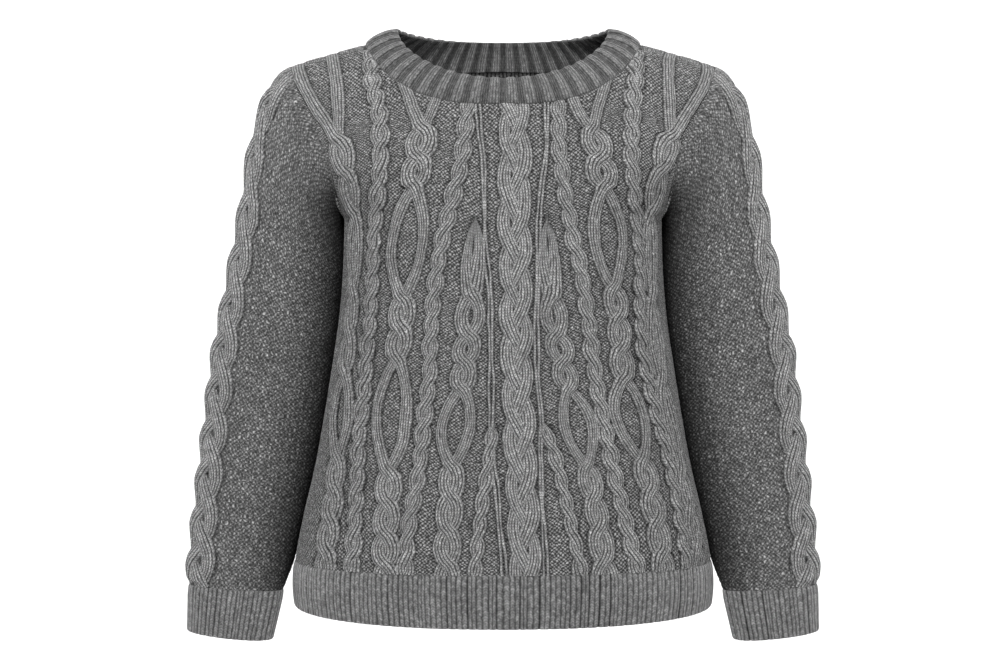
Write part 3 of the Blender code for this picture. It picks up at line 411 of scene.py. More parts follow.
def places_round(points, half):
    """Places from 0 to 1 round a closed line of points, with the point numbered half at 0.5."""
    first, second = lengths_along(points[: half + 1]), lengths_along(points[half:])
    return np.concatenate([0.5 * first / first[-1], 0.5 + 0.5 * second[1:] / second[-1]])


def every(count, step, keep=()):
    """Numbers from 0 in steps, with the last one below count and those to keep."""
    return np.unique(np.concatenate([np.arange(0, count, step), [count - 1], np.asarray(keep, int)]))


ROLL_ANGLES = np.linspace(0, math.pi / 2, 300)
ROLL_CURVE = np.stack([ROLL[0] * np.cos(ROLL_ANGLES), ROLL[1] * np.sin(ROLL_ANGLES)], -1)
ROLL_LENGTHS = lengths_along(ROLL_CURVE)
RIDGE_UP = CHEST_UP + ROLL_LENGTHS[-1]


def body_point(side, angle, up):
    """A point of the body, by its angle round from the centre line and its height up the cloth."""
    roll = np.interp(up - CHEST_UP, ROLL_LENGTHS, ROLL_ANGLES)
    width = read(BODY, "half_width", up) + SHOULDER_WIDENING * np.sin(roll)
    depth = read(BODY, side, up) * (1 + FULLER_AT_SHOULDER[side] * np.sin(roll) ** 2) * np.cos(roll)
    x = width * np.sin(angle) ** (2 / RING_POWER)
    y = depth * np.cos(angle) ** (2 / RING_POWER) * (-1 if side == "front" else 1)
    shoulder_line = SHOULDER_LINE_PEAK * (1 - (np.abs(x) / SHOULDER_LINE_REACH) ** SHOULDER_LINE_POWER)
    chest = np.minimum(up + HEM_Z, CHEST_Z)
    z = chest + np.where(up > CHEST_UP, (shoulder_line - CHEST_Z) * np.sin(roll), 0)
    return np.stack([x, y, z], -1)


def fold_depth(side, across, up):
    """How far the cloth is moved in or out of its smooth form."""
    depth = np.zeros(np.broadcast(across, up).shape)
    for at_across, at_up, length, width, deep, lean in FOLDS[side]:
        along = up - at_up
        aside = across - at_across - lean * along
        fade = np.cos(0.5 * math.pi * np.clip(np.abs(along) / (0.5 * length), 0, 1)) ** 2
        depth = depth - deep * fade * np.exp(-((aside / (0.5 * width)) ** 2))
    return depth


class Cloth:
    """The front or the back of the body as cloth, with points found by distances along it."""

    def __init__(self, side):
        self.side = side
        self.ups = np.linspace(0, RIDGE_UP, CLOTH_TABLE[0])
        angles = np.linspace(0, math.pi / 2, CLOTH_TABLE[1])
        lengths = lengths_along(body_point(side, angles[None], self.ups[:, None]))
        self.widths = lengths[:, -1]
        self.shares = np.linspace(0, 1, len(angles))
        rows = zip(self.widths, lengths)
        self.angles = np.array([np.interp(self.shares * width, along, angles) for width, along in rows])

    def half(self, up):
        return np.interp(up, self.ups, self.widths)

    def smooth_at(self, across, up):
        row = np.clip(up / RIDGE_UP, 0, 1) * (len(self.ups) - 1)
        low = np.minimum(row.astype(int), len(self.ups) - 2)
        row = row - low
        share = np.clip(np.abs(across) / self.half(up), 0, 1) * (len(self.shares) - 1)
        left = np.minimum(share.astype(int), len(self.shares) - 2)
        share = share - left
        below, above = (self.angles[line, left] * (1 - share) + self.angles[line, left + 1] * share
                        for line in (low, low + 1))
        point = body_point(self.side, below * (1 - row) + above * row, up)
        point[..., 0] *= np.where(across < 0, -1, 1)
        return point

    def normal(self, across, up):
        over = self.smooth_at(across + 1, up) - self.smooth_at(across - 1, up)
        rise = self.smooth_at(across, up + 1) - self.smooth_at(across, up - 1)
        facing = -1 if self.side == "front" else 1
        normal = unit(np.cross(rise, over))
        return normal * np.sign(normal[..., 1:2] * facing + 1e-9)

    def at(self, across, up):
        """The cloth with its folds, and which way is out."""
        across, up = np.broadcast_arrays(np.asarray(across, float), np.asarray(up, float))
        normal = self.normal(across, up)
        level = normal * (1, 1, 0)
        return self.smooth_at(across, up) + level * fold_depth(self.side, across, up)[..., None], normal

    def armhole(self, up):
        half = self.half(up)
        return np.where(up > CHEST_UP, np.minimum(half, read(ARMHOLE, self.side, up)), half)

    def neckline(self, across):
        inside = np.clip(np.abs(across) / NECK_HALF, 0, 1)
        drop = (1 - inside ** NECK_POWERS[0]) ** (1 / NECK_POWERS[1])
        return RIDGE_UP - NECK_DROP[self.side] * drop


def stitched(first, first_places, second, second_places):
    """Triangles between two lines of points side by side, each point having its place along them."""
    faces = []
    i = j = 0
    while i < len(first) - 1 or j < len(second) - 1:
        end_first, end_second = i == len(first) - 1, j == len(second) - 1
        if end_second or (not end_first and first_places[i + 1] <= second_places[j + 1]):
            faces.append((first[i], first[i + 1], second[j]))
            i += 1
        else:
            faces.append((first[i], second[j + 1], second[j]))
            j += 1
    return faces


class Knit:
    """Gathers the points, faces and stitch coordinates of one piece, and makes its object."""

    def __init__(self, name):
        self.name = name
        self.points, self.hollows, self.faces, self.stitches, self.finishes = [], [], [], [], []
        self.count = 0

    def add(self, points, hollow=0.0):
        """Takes points in, each with the shade painted on it, and gives their numbers."""
        points = np.asarray(points, float)
        index = np.arange(self.count, self.count + points.size // 3).reshape(points.shape[:-1])
        self.points.append(points.reshape(-1, 3))
        self.hollows.append(np.broadcast_to(hollow, points.shape[:-1]).reshape(-1))
        self.count += points.size // 3
        return index

    def grid(self, index, stitches, finish=KNIT, is_ring=False, flip=False):
        """Faces over rows of points. Where two corners of a face are one point, it is a triangle or none."""
        if is_ring:
            index = np.concatenate([index, index[:, :1]], axis=1)
        low, high = slice(None, -1), slice(1, None)
        around = (low, low), (low, high), (high, high), (high, low)
        corners = np.stack([index[where] for where in around], -1).reshape(-1, 4)
        places = np.stack([stitches[where] for where in around], -2).reshape(-1, 4, 2)
        repeated = corners == np.roll(corners, -1, axis=1)
        times = repeated.sum(axis=1)
        kinds = [(times == 0, [0, 1, 2, 3])]
        kinds += [((times == 1) & repeated[:, k], [n for n in range(4) if n != k]) for k in range(4)]
        for keep, order in kinds:
            order = order[::-1] if flip else order
            self.faces.extend(corners[keep][:, order].tolist())
            self.stitches.append(places[keep][:, order].reshape(-1, 2))
            self.finishes.append(np.full(keep.sum(), finish))

    def join(self, first, first_places, second, second_places, flip=False):
        """Closes the gap between two edges."""
        faces = stitched(list(first), list(first_places), list(second), list(second_places))
        faces = [face[::-1] if flip else face for face in faces if len(set(face)) == 3]
        self.faces.extend([int(number) for number in face] for face in faces)
        self.stitches.append(np.zeros((3 * len(faces), 2)))
        self.finishes.append(np.zeros(len(faces), int))

    def build(self, materials):
        mesh = bpy.data.meshes.new(self.name)
        mesh.from_pydata((np.concatenate(self.points) * MM).tolist(), [], self.faces)
        layer = mesh.uv_layers.new(name="stitches")
        layer.data.foreach_set("uv", np.concatenate(self.stitches).astype(np.float32).reshape(-1))
        # the shade painted on each point, which darkens its colour
        hollow = mesh.attributes.new("hollow", "FLOAT", "POINT")
        hollow.data.foreach_set("value", np.concatenate(self.hollows).astype(np.float32))
        mesh.polygons.foreach_set("material_index", np.concatenate(self.finishes).astype(np.int32))
        for material in materials:
            mesh.materials.append(material)
        mesh.shade_smooth()
        mesh.set_sharp_from_angle(angle=SHARP)
        piece = bpy.data.objects.new(self.name, mesh)
        bpy.context.scene.collection.objects.link(piece)
        return piece


def checker(rows, wales, rise, draw):
    """Every second point raised and the others sunk, no two alike, with a plain edge above and below."""
    odd = (np.asarray(rows)[:, None] + np.asarray(wales)) % 2
    height = rise * (1.0 - 2.0 * odd) * draw.uniform(0.5, 1.5, odd.shape)
    height[[0, -1]] = 0
    return height


def ditch(beyond):
    """How deep the ground falls so far beyond a strand's edge, from 0 to 1."""
    return np.exp(-((np.maximum(beyond, 0) / DITCH_WIDTH) ** 2))


def shade_beside_arm(points, shade):
    """Painted shade on a point between the arm and the body: most where the two nearly touch."""
    reach, most, power = shade
    gap = np.abs(np.abs(points[..., 0]) - read(BODY, "half_width", np.clip(points[..., 2] - HEM_Z, 0, CHEST_UP)))
    return most * np.clip(1 - gap / reach, 0, 1) ** power * smooth((SHADE_TOP - points[..., 2]) / SHADE_FADE)


class Panel:
    """The front or the back: a fine grid of purl bars outside, a plain inside, trimmed at the neckline."""

    def __init__(self, side, tracks):
        self.side, self.tracks = side, tracks
        self.cloth = Cloth(side)
        self.strands = {name: strands_of(tracks, name) for name in tracks[0][1:]}
        self.every_strand = [strand for strands in self.strands.values() for strand in strands]
        draw = np.random.default_rng(DRAWS[side])
        for strand in self.every_strand:
            strand.vary(draw)
        self.lay_out()
        self.ground, self.normal = self.cloth.at(self.across, self.up)
        self.square_to_seams()
        self.raise_bars(draw)
        top = self.first_trimmed, np.arange(len(self.places))
        self.top_outer, self.top_inner, self.top_normal = self.outer[top], self.inner[top], self.normal[top]

    def lay_out(self):
        """Where each bar lies across and up, the ones beyond an edge being drawn in to it."""
        self.pitch = NECK_HALF / round(NECK_HALF / PURL[0])
        even = self.pitch * np.arange(math.ceil(self.cloth.widths.max() / self.pitch) + 1)
        half = np.unique(np.append(even, NECK_HALF - np.array(CORNER_COLUMNS)).round(6))
        self.places = np.concatenate([-half[::-1], half[1:]])
        self.corners = [int(np.abs(self.places - place).argmin()) for place in (-NECK_HALF, NECK_HALF)]
        self.shoulder = np.abs(self.places) >= NECK_HALF - 1e-6
        low = np.linspace(HEM_BAND + SEAM / 2, CHEST_UP, round((CHEST_UP - HEM_BAND) / PURL[1]) + 1)
        count = round((RIDGE_UP - CHEST_UP) / PURL[1] / SHOULDER_EASE)
        spread = np.cumsum(np.linspace(1.0, 2 * SHOULDER_EASE - 1, count))
        high = CHEST_UP + (RIDGE_UP - CHEST_UP) * np.concatenate([[0], spread / spread[-1]])
        self.rows = np.concatenate([low, high[1:]])
        self.chest_row = len(low) - 1
        self.tops = np.where(self.shoulder, RIDGE_UP, self.cloth.neckline(self.places))
        self.up = np.minimum(self.rows[:, None] + self.course_lean(), self.tops)
        self.first_trimmed = (self.up >= self.tops - 1e-6).argmax(axis=0)
        self.edge = self.cloth.armhole(self.up)
        self.beyond = np.abs(self.places) > self.edge - CLEAR_OF_EDGE
        self.side_seam = self.beyond & (np.arange(len(self.rows)) <= self.chest_row)[:, None]
        self.across = np.where(self.beyond, np.sign(self.places) * self.edge, self.places)

    def course_lean(self):
        """How far the courses rise where the cables lean, because a course lies square to its wales."""
        names = self.tracks[0][1:]
        slopes, aside = [], []
        for up in self.rows:
            edge = float(self.cloth.armhole(up))
            places = [read(self.tracks, name, up) for name in names]
            leans = [(read(self.tracks, name, up + 4) - read(self.tracks, name, up - 4)) / 8 for name in names]
            aside.append(np.clip(self.places, -edge, edge))
            slopes.append(np.interp(aside[-1], [-edge, *places, edge], [0, *leans, 0]))
        slopes, aside = np.array(slopes), np.array(aside)
        steps = 0.5 * (slopes[:, 1:] + slopes[:, :-1]) * np.diff(aside, axis=1)
        lean = np.concatenate([np.zeros((len(steps), 1)), np.cumsum(steps, axis=1)], axis=1)
        lean = lean - lean[:, len(self.places) // 2, None]
        raised = COURSE_LEAN_MOST * np.tanh(-COURSE_LEAN * lean / COURSE_LEAN_MOST)
        up = self.rows[:, None]
        window = smooth((up - self.rows[0]) / COURSE_LEAN_FADE[0]) * smooth((self.tops - up) / COURSE_LEAN_FADE[1])
        return raised * window * (1 - (aside / aside[:, -1:]) ** COURSE_LEAN_POWER)

    def square_to_seams(self):
        self.normal[self.side_seam, 1] = 0
        self.normal[-1, self.shoulder, 1] = 0
        self.normal = unit(self.normal)

    def on_seams(self, points):
        plane = SEAM / 2 * (-1 if self.side == "front" else 1)
        points[self.side_seam, 1] = plane
        points[-1, self.shoulder, 1] = plane
        points[0, :, 2] = HEM_Z + HEM_BAND + SEAM / 2
        return points

    def beside_cables(self):
        """How deep each point lies beside or under a cable's strand, from 0 to 1."""
        deep = np.zeros(self.up.shape)
        for strand in self.every_strand:
            aside = np.abs(self.across - strand.value("across", self.up))
            beyond = aside - strand.value("half", self.up) * strand.value("stretch", self.up)
            here = (self.up > HEM_BAND) & (self.up < (strand.high or RIDGE_UP))
            deep = np.maximum(deep, here * ditch(beyond))
        return deep

    def raise_bars(self, draw):
        open_cloth = (np.arange(len(self.rows))[:, None] < self.first_trimmed) & ~self.beyond
        open_cloth[[0, -1]] = False
        beside = self.beside_cables() * open_cloth
        # painted shade beside the cables and between arm and body
        self.hollow = beside + shade_beside_arm(self.ground, SIDE_SHADE)
        wales = np.round(self.places / self.pitch).astype(int)
        rise = checker(np.arange(len(self.rows)), wales, BAR_RISE, draw) - DITCH * beside
        stray = draw.uniform(-0.5, 0.5, (2, *self.up.shape)) * np.reshape(PURL, (2, 1, 1)) * UNEVEN
        loose = open_cloth & (np.abs(self.places) < self.edge - CLEAR_OF_SEAM)
        loose = loose & (np.abs(np.abs(self.places) - NECK_HALF) > CLEAR_OF_CORNER)
        across, up = self.across + stray[0] * loose, np.minimum(self.up + stray[1] * loose, self.tops)
        shifted = np.where(loose[..., None], self.cloth.at(across, up)[0], self.ground)
        self.outer = self.on_seams(shifted + self.normal * (rise * open_cloth)[..., None])
        self.inner = self.on_seams(self.ground - self.normal * WALL)

    def laid(self, knit, points, rows, columns, hollow):
        """The chosen points, those beyond the neckline, a side seam or an armhole being the one on that edge."""
        beyond, places = self.beyond[np.ix_(rows, columns)], self.places[columns]
        number, place = np.indices(beyond.shape)
        last = (self.up[np.ix_(rows, columns)] >= self.tops[columns] - 1e-6).argmax(axis=0)
        left = (beyond & (places < 0)).sum(axis=1) - 1
        right = len(columns) - (beyond & (places > 0)).sum(axis=1)
        row, column = np.minimum(number, last), np.clip(place, left[:, None], right[:, None])
        used = (number == row) & (place == column)
        index = np.full(beyond.shape, -1)
        index[used] = knit.add(points[np.ix_(rows, columns)][used], hollow[used])
        return index[row, column]

    def stitches(self, rows, columns):
        wales = self.across[np.ix_(rows, columns)] / (2 * self.pitch)
        return np.stack(np.broadcast_arrays(wales, rows[:, None] / 2), -1)

    def ground_piece(self, name):
        knit = Knit(name)
        rows, columns = np.arange(len(self.rows)), np.arange(len(self.places))
        outer = self.laid(knit, self.outer, rows, columns, self.hollow)
        facing = self.side == "back"
        knit.grid(outer, self.stitches(rows, columns), PURLED, flip=facing)
        near = [n for n in columns if abs(abs(self.places[n]) - NECK_HALF) < CLEAR_OF_CORNER]
        few_rows = every(len(rows), INSIDE_STEPS["panel"][0], [self.chest_row])
        few_columns = every(len(columns), INSIDE_STEPS["panel"][1], [*self.corners, *near])
        # painted shade on the inside
        within = np.full((len(few_rows), len(few_columns)), GROUND_INSIDE_SHADE)
        inner = self.laid(knit, self.inner, few_rows, few_columns, within)
        knit.grid(inner, self.stitches(few_rows, few_columns), KNIT, flip=not facing)
        for edge, flip in ((0, not facing), (-1, facing)):
            knit.join(outer[edge], columns, inner[edge], few_columns, flip=flip)
        for edge, flip in ((0, facing), (-1, not facing)):
            knit.join(outer[:, edge], rows, inner[:, edge], few_rows, flip=flip)
        return knit


class Strand:
    """One strand of a cable: its middle, height and width at every millimetre up the cloth."""

    def __init__(self, across, lift, half, rise, wales, high=None, painted_light=0.0):
        self.across, self.lift = softened(across, 9), softened(lift, 9)
        slope = np.gradient(self.across)
        self.lean = slope / np.sqrt(1 + slope**2)
        self.stretch = np.minimum(np.sqrt(1 + slope**2), STRETCH_MOST)
        self.along = np.cumsum(np.sqrt(1 + slope**2))
        self.half = softened(half + 0 * across, 9) * (WIDER_OVER[0] + WIDER_OVER[1] * self.lift)
        self.rise = rise * (UNDER_OVER[0] + UNDER_OVER[1] * self.lift)
        self.wales, self.high, self.painted_light = wales, high, painted_light

    def vary(self, draw):
        """No strand keeps quite its place, its width and its height."""
        self.across = self.across + STRAY * slow_change(draw, STRAND_TABLE)
        self.half = self.half * (1 + UNEVEN_HALF * slow_change(draw, STRAND_TABLE))
        self.rise = self.rise * (1 + UNEVEN_RISE * slow_change(draw, STRAND_TABLE))

    def value(self, name, up):
        return np.interp(up, STRAND_TABLE, getattr(self, name))


def slow_change(draw, places):
    """A smooth run of chance values, about 1 in size, drawn well beyond both ends to be as smooth there."""
    knots = np.arange(places.min() - 60, places.max() + 60, CHANGE_EVERY)
    values = np.convolve(draw.normal(0, 1, len(knots)), (0.25, 0.5, 0.25), mode="same") * 1.6
    fine = np.arange(knots[0], knots[-1])
    return np.interp(places, fine, softened(np.interp(fine, knots, values), 15))


def wander(draw, shape):
    """How far each point of a strand strays, changing little from one to the next."""
    stray = draw.normal(0, WANDER, shape)
    for _ in range(2):
        stray[1:-1] = (stray[:-2] + 2 * stray[1:-1] + stray[2:]) / 3
        stray[:, 1:-1] = (stray[:, :-2] + stray[:, 1:-1] + stray[:, 2:]) / 2
    return stray


def round_back(share):
    return np.sqrt(np.clip(1 - share**2, 0, 1))


def strand_height(rise, share, wales):
    """A strand's rounded back, across it from -1 to 1, with a groove between every two columns of stitches."""
    groove = WALE_GROOVE * (1 - np.abs(np.sin(math.pi * wales * 0.5 * (share + 1))) ** 0.8)
    return rise * round_back(share) - groove


def strand_painted_shade(share, lift):
    """Painted shade on a strand: at its edges, and where the other one passes over it."""
    return np.maximum(np.abs(share) ** EDGE_SHADE_POWER, UNDER_SHADE * np.clip(-lift, 0, 1) * np.abs(share) ** 2)


def knit_strand(knit, points, hollow, share, wales, course, flip):
    """The faces of a strand, its columns of stitches running along it."""
    wale = np.broadcast_to(0.5 * (share + 1) * wales, course.shape)
    knit.grid(knit.add(points, hollow), np.stack([wale, course], -1), KNIT, flip=flip)


def tops_of(strand, cloth, share):
    """How far up each line along a strand runs until it meets the neckline or the shoulder seam."""
    if strand.high is not None:
        return np.full(len(share), strand.high)
    fine = np.arange(RIDGE_UP - TOP_REACH, RIDGE_UP + 0.1, 0.25)[:, None]
    across = strand.value("across", fine) + share * strand.value("half", fine) * strand.value("stretch", fine)
    met = fine >= np.minimum(cloth.neckline(across), RIDGE_UP)
    top = np.where(met.any(axis=0), fine[met.argmax(axis=0), 0], RIDGE_UP)
    return np.minimum(top, top.mean() + TOP_SLANT)


def lay_strand(knit, panel, strand, draw):
    """A strand raised on the ground of a panel, its edges tucked in."""
    share = np.linspace(-1, 1, POINTS_PER_WALE * strand.wales + 1)
    cloth = panel.cloth
    top = tops_of(strand, cloth, share)
    length = top.mean() - HEM_BAND
    run = np.linspace(0, length, int(length / STRAND_STEP) + 1)[:, None]
    up = HEM_BAND + run + (top - top.mean()) * smooth((run - length + SLANT_OVER) / SLANT_OVER)
    wide = strand.value("half", up) * strand.value("stretch", up)
    if strand.high is not None:
        reach, narrow = POINTED_END
        wide = wide * (narrow + (1 - narrow) * smooth((top - up) / reach))
    edge = cloth.armhole(up) - CLEAR_OF_ARMHOLE
    across = np.clip(strand.value("across", up) + share * wide, -edge, edge)
    height = strand_height(strand.value("rise", up), share, strand.wales)
    at_seam = top > RIDGE_UP - AT_SEAM
    over, flat = (np.where(at_seam, *both) for both in zip(FLAT_AT_SEAM, FLAT_AT_END))
    near_end = smooth((up - HEM_BAND) / FLAT_AT_END[0]) * smooth((top - up) / over)
    height = height * (flat + (1 - flat) * near_end) - TUCK * (1 - round_back(share)) - SINK
    across, height = across + wander(draw, up.shape) * near_end, height + 0.5 * wander(draw, up.shape) * near_end
    ground, normal = cloth.at(across, up)
    # painted shade at the strand's edges, under crossings and beside the arm; the plait is painted lighter
    hollow = strand_painted_shade(share, strand.value("lift", up)) + shade_beside_arm(ground, SIDE_SHADE) - strand.painted_light
    course = (strand.value("along", up) + share * wide * strand.value("lean", up)) / COURSE
    points = ground + normal * height[..., None]
    knit_strand(knit, points, hollow, share, strand.wales, course, panel.side == "back")


# Each path gives, for every strand: its swing from the middle, its lift over (1) or under (-1), and its fullness


def rope_path(up, half):
    turn = math.pi * (up / ROPE_PITCH + 0.25)
    swing = ROPE_SWING * half * np.cos(turn)
    return [(swing, np.sin(turn), 1.0 + 0 * up), (-swing, -np.sin(turn), 1.0 + 0 * up)]


def plait_path(up, half):
    """Three strands, the outer ones crossing in to the middle in turn."""
    turns = [2 * math.pi * (up / (3 * PLAIT_PITCH) + strand / 3) for strand in range(3)]
    return [(half * np.sin(turn), -np.cos(2 * turn + math.pi / 2), 1.0 + 0 * up) for turn in turns]


def crossed_path(up, crossings):
    """Two strands that swap sides at each crossing and swing apart between them."""
    swing, lift, full = np.zeros_like(up), np.zeros_like(up), np.ones_like(up)
    side = 1
    for (start, reach), (end, _) in zip(crossings, crossings[1:]):
        share = np.clip((up - start) / (end - start), 0, 1)
        here = (up >= start) & (up < end)
        swing = np.where(here, side * reach * np.sin(math.pi * share) ** SWING_POWER, swing)
        near = np.minimum(up - start, end - up) / CROSS_REACH
        over = np.where(up - start < end - up, 1, -1)
        lift = np.where(here, side * over * np.clip(1 - near, 0, 1), lift)
        full = np.where(here & (0 < reach < OPEN_REACH), TIGHT_FULL, full)
        side = -side
    return [(swing, lift, full), (-swing, -lift, full)]


def strands_of(tracks, name):
    """The strands of one cable, those on the wearer's right crossing the other way round."""
    up, kind = STRAND_TABLE, name.split("_")[0]
    middle = read(tracks, name, up)
    half, rise, wales = STRANDS[kind]
    high, painted_light = None, 0.0
    if kind == "rib":
        return rib_strands(middle, name, half, rise)
    if kind == "plait":
        # the plait is painted lighter
        paths, painted_light = plait_path(up, PLAIT_HALF - half), PLAIT_PAINTED_LIGHT
    elif kind in ("rope", "slim"):
        paths = rope_path(up, half)
    else:
        paths = crossed_path(up, CROSSINGS["back_oval" if tracks is BACK_TRACKS else name])
    if kind == "wedge":
        point = np.interp(up, WEDGE_POINT, (WEDGE_FULL * half, WEDGE_TIP))
        half, high = point * np.where(up < WEDGE_POINT[0], 1 / WEDGE_FULL, 1), WEDGE_TOP
    hand = -1 if name.endswith("_r") else 1
    return [Strand(middle + swing, hand * lift, half * full, rise, wales, high, painted_light)
            for swing, lift, full in paths]


def rib_strands(middle, name, half, rise):
    """Two columns of stitches side by side, and the rope that leaves them on the outer side towards the hem."""
    up = STRAND_TABLE
    spread = read(RIB_SPREAD, name, up)
    parted = spread * smooth((spread - RIB_SPREAD[-1][1]) / RIB_PARTED)
    outer = -1 if name.endswith("_r") else 1
    strands = [Strand(middle - outer * parted + side * RIB_APART, 0 * up, half, rise, 1) for side in (-1, 1)]
    half, rise, wales = STRANDS["rib_rope"]
    for swing, lift, _ in rope_path(up, half):
        strands.append(Strand(middle + outer * parted + swing, outer * lift, half, rise, wales, RIB_ROPE_TOP))
    return strands


def cable_piece(name, panel, end=""):
    """The cables of a panel whose names end so."""
    knit = Knit(name)
    draw = np.random.default_rng(DRAWS[panel.side] + STRAND_DRAWS)
    for track, strands in panel.strands.items():
        if track.endswith(end):
            for strand in strands:
                lay_strand(knit, panel, strand, draw)
    return knit


def closed(ring):
    return np.concatenate([ring, ring[:1]])


def round_length(ring):
    return lengths_along(closed(ring))[-1]


def along_ring(ring, distances):
    """Points of a dense ring at distances along it from its first point."""
    along = lengths_along(closed(ring))
    return points_at(np.mod(distances, along[-1]), along, closed(ring))


class Ring:
    """A closed edge that a piece is sewn to: outer and inner points, which way out is, and its places."""

    def __init__(self, outer, inner, normal, half, beyond):
        along = unit(np.roll(outer, -1, 0) - np.roll(outer, 1, 0))
        away = unit(np.cross(normal, along))
        away = away * np.sign((away * (beyond - outer)).sum(-1, keepdims=True).mean())
        self.outer, self.inner, self.normal = outer + away * SEAM, inner + away * SEAM, normal
        self.places = places_round(closed(outer), half)

    def at(self, shares, points):
        return points_at(np.mod(shares, 1), self.places, closed(points))


def closed_edge(first, second):
    """Two edges that meet at both ends, as one closed line."""
    start, turn = 0.5 * (first[0] + second[-1]), 0.5 * (first[-1] + second[0])
    return np.concatenate([[start], first[1:-1], [turn], second[1:-1]])


def armhole_ring(front, back, sign):
    """From the shoulder down the front to the underarm and up the back."""
    column = 0 if sign < 0 else -1
    down, up = (slice(None, front.chest_row - 1, -1), column), (slice(back.chest_row, None), column)
    outer, inner, normal = (closed_edge(ahead[down], behind[up]) for ahead, behind in (
        (front.outer, back.outer), (front.inner, back.inner), (front.normal, back.normal)))
    half = len(front.rows) - 1 - front.chest_row
    return Ring(outer, inner, unit(normal), half, np.array([sign * SLEEVE[3][1], 0, SLEEVE[3][2]]))


def neck_ring(front, back):
    """From the wearer's right along the front to their left, and back behind the neck."""
    along, home = slice(front.corners[0], front.corners[1] + 1), slice(back.corners[0], back.corners[1] + 1)
    outer, inner, normal = (closed_edge(ahead[along], behind[home][::-1]) for ahead, behind in (
        (front.top_outer, back.top_outer), (front.top_inner, back.top_inner), (front.top_normal, back.top_normal)))
    half = front.corners[1] - front.corners[0]
    return Ring(outer, inner, unit(normal), half, np.array([0, 0, 2 * OPENING_TOP]))


def tube_normals(rows):
    """Outward directions of a tube of closed rings of points."""
    over = np.roll(rows, -1, 1) - np.roll(rows, 1, 1)
    normal = unit(np.cross(over, np.gradient(rows, axis=0)))
    outward = rows - rows.mean(axis=1, keepdims=True)
    return normal * np.sign((normal * outward).sum(-1).mean())


def oval(outer_x, outer_z, inner_x, inner_z, depth, middle_y, sign):
    """A ring of the sleeve on its two side lines, from its outermost point forward and round."""
    angle = 2 * math.pi * RING_SHARES
    wide, deep = (np.sign(part) * np.abs(part) ** (2 / SLEEVE_POWER) for part in (np.cos(angle), np.sin(angle)))
    x = 0.5 * (outer_x + inner_x) + 0.5 * (outer_x - inner_x) * wide
    z = 0.5 * (outer_z + inner_z) + 0.5 * (outer_z - inner_z) * wide
    return np.stack([sign * x, middle_y - 0.5 * depth * deep, z], -1)


class Sleeve:
    """A set-in sleeve as cloth: dense rings down it, which leave the armhole's shape for plain ovals."""

    def __init__(self, side, sign, ring):
        self.side = side

        def oval_at(row):
            return oval(*(read(SLEEVE, name, row) for name in SLEEVE[0][1:]), sign)

        table_rows = np.linspace(0, SLEEVE[-1][0], 131)
        along = lengths_along(np.array([oval_at(row).mean(axis=0) for row in table_rows]))
        even = np.linspace(0, along[-1], round(along[-1] / MOSS[1]) + 1)
        rows = np.interp(even, along, table_rows)
        away = ring.at(RING_SHARES, ring.outer) - oval_at(0)
        self.ovals = [oval_at(row) + away * np.clip(1 - row / SLEEVE_BLEND, 0, 1) ** 2 for row in rows]
        self.middles = np.array([dense.mean(axis=0) for dense in self.ovals])
        self.down = lengths_along(self.middles)

    def at(self, distances):
        """Points with the folds at distances round each ring, and which way is out."""
        ground, ahead, behind = (
            np.array([along_ring(dense, at + step) for dense, at in zip(self.ovals, distances)])
            for step in (0.0, 1.0, -1.0))
        normal = unit(np.cross(ahead - behind, np.gradient(ground, axis=0)))
        normal = normal * np.sign((normal * (ground - self.middles[:, None])).sum(-1).mean())
        down = self.down[:, None]
        settled = smooth(down / SLEEVE_FOLDS_CLEAR) * smooth((down[-1] - down) / SLEEVE_FOLDS_CLEAR)
        return ground + normal * (fold_depth(self.side, distances, down) * settled)[..., None], normal

    def lay_strand(self, knit, place, lift):
        """A strand of the plait down the sleeve, one row of points for each ring."""
        half, rise, wales = STRANDS["arm"]
        down = self.down
        share = np.linspace(-1, 1, POINTS_PER_WALE * wales + 1)
        slope = np.gradient(place, down)
        stretch = np.minimum(np.sqrt(1 + slope**2), STRETCH_MOST)[:, None]
        distances = place[:, None] + share * half * (WIDER_OVER[0] + WIDER_OVER[1] * lift[:, None]) * stretch
        ground, normal = self.at(distances)
        height = strand_height((rise * (UNDER_OVER[0] + UNDER_OVER[1] * lift))[:, None], share, wales)
        over, flat = SLEEVE_PLAIT_START
        near_end = smooth(down / over) * smooth((down[-1] - down) / FLAT_AT_END[0])
        height = height * (flat + (1 - flat) * near_end)[:, None] - TUCK * (1 - round_back(share)) - SINK
        along = np.cumsum(np.gradient(down) * np.sqrt(1 + slope**2))[:, None]
        lean = (slope / np.sqrt(1 + slope**2))[:, None]
        course = -(along + (distances - place[:, None]) * lean) / COURSE
        # painted shade at the strand's edges and under crossings
        points, hollow = ground + normal * height[..., None], strand_painted_shade(share, lift[:, None])
        knit_strand(knit, points, hollow, share, wales, course, self.side == "right")


def wrapped(knit, points, beyond, hollow=None):
    """Points round a tube. Those beyond its seam on either side are the one on the seam."""
    middle = beyond.shape[1] // 2
    number, place = np.indices(beyond.shape)
    seam = beyond[:, :middle].sum(axis=1)[:, None] - 1
    column = np.where(beyond, seam, place)
    used = column == place
    index = np.full(beyond.shape, -1)
    index[used] = knit.add(points[used], 0.0 if hollow is None else hollow[used])
    return index[number, column]


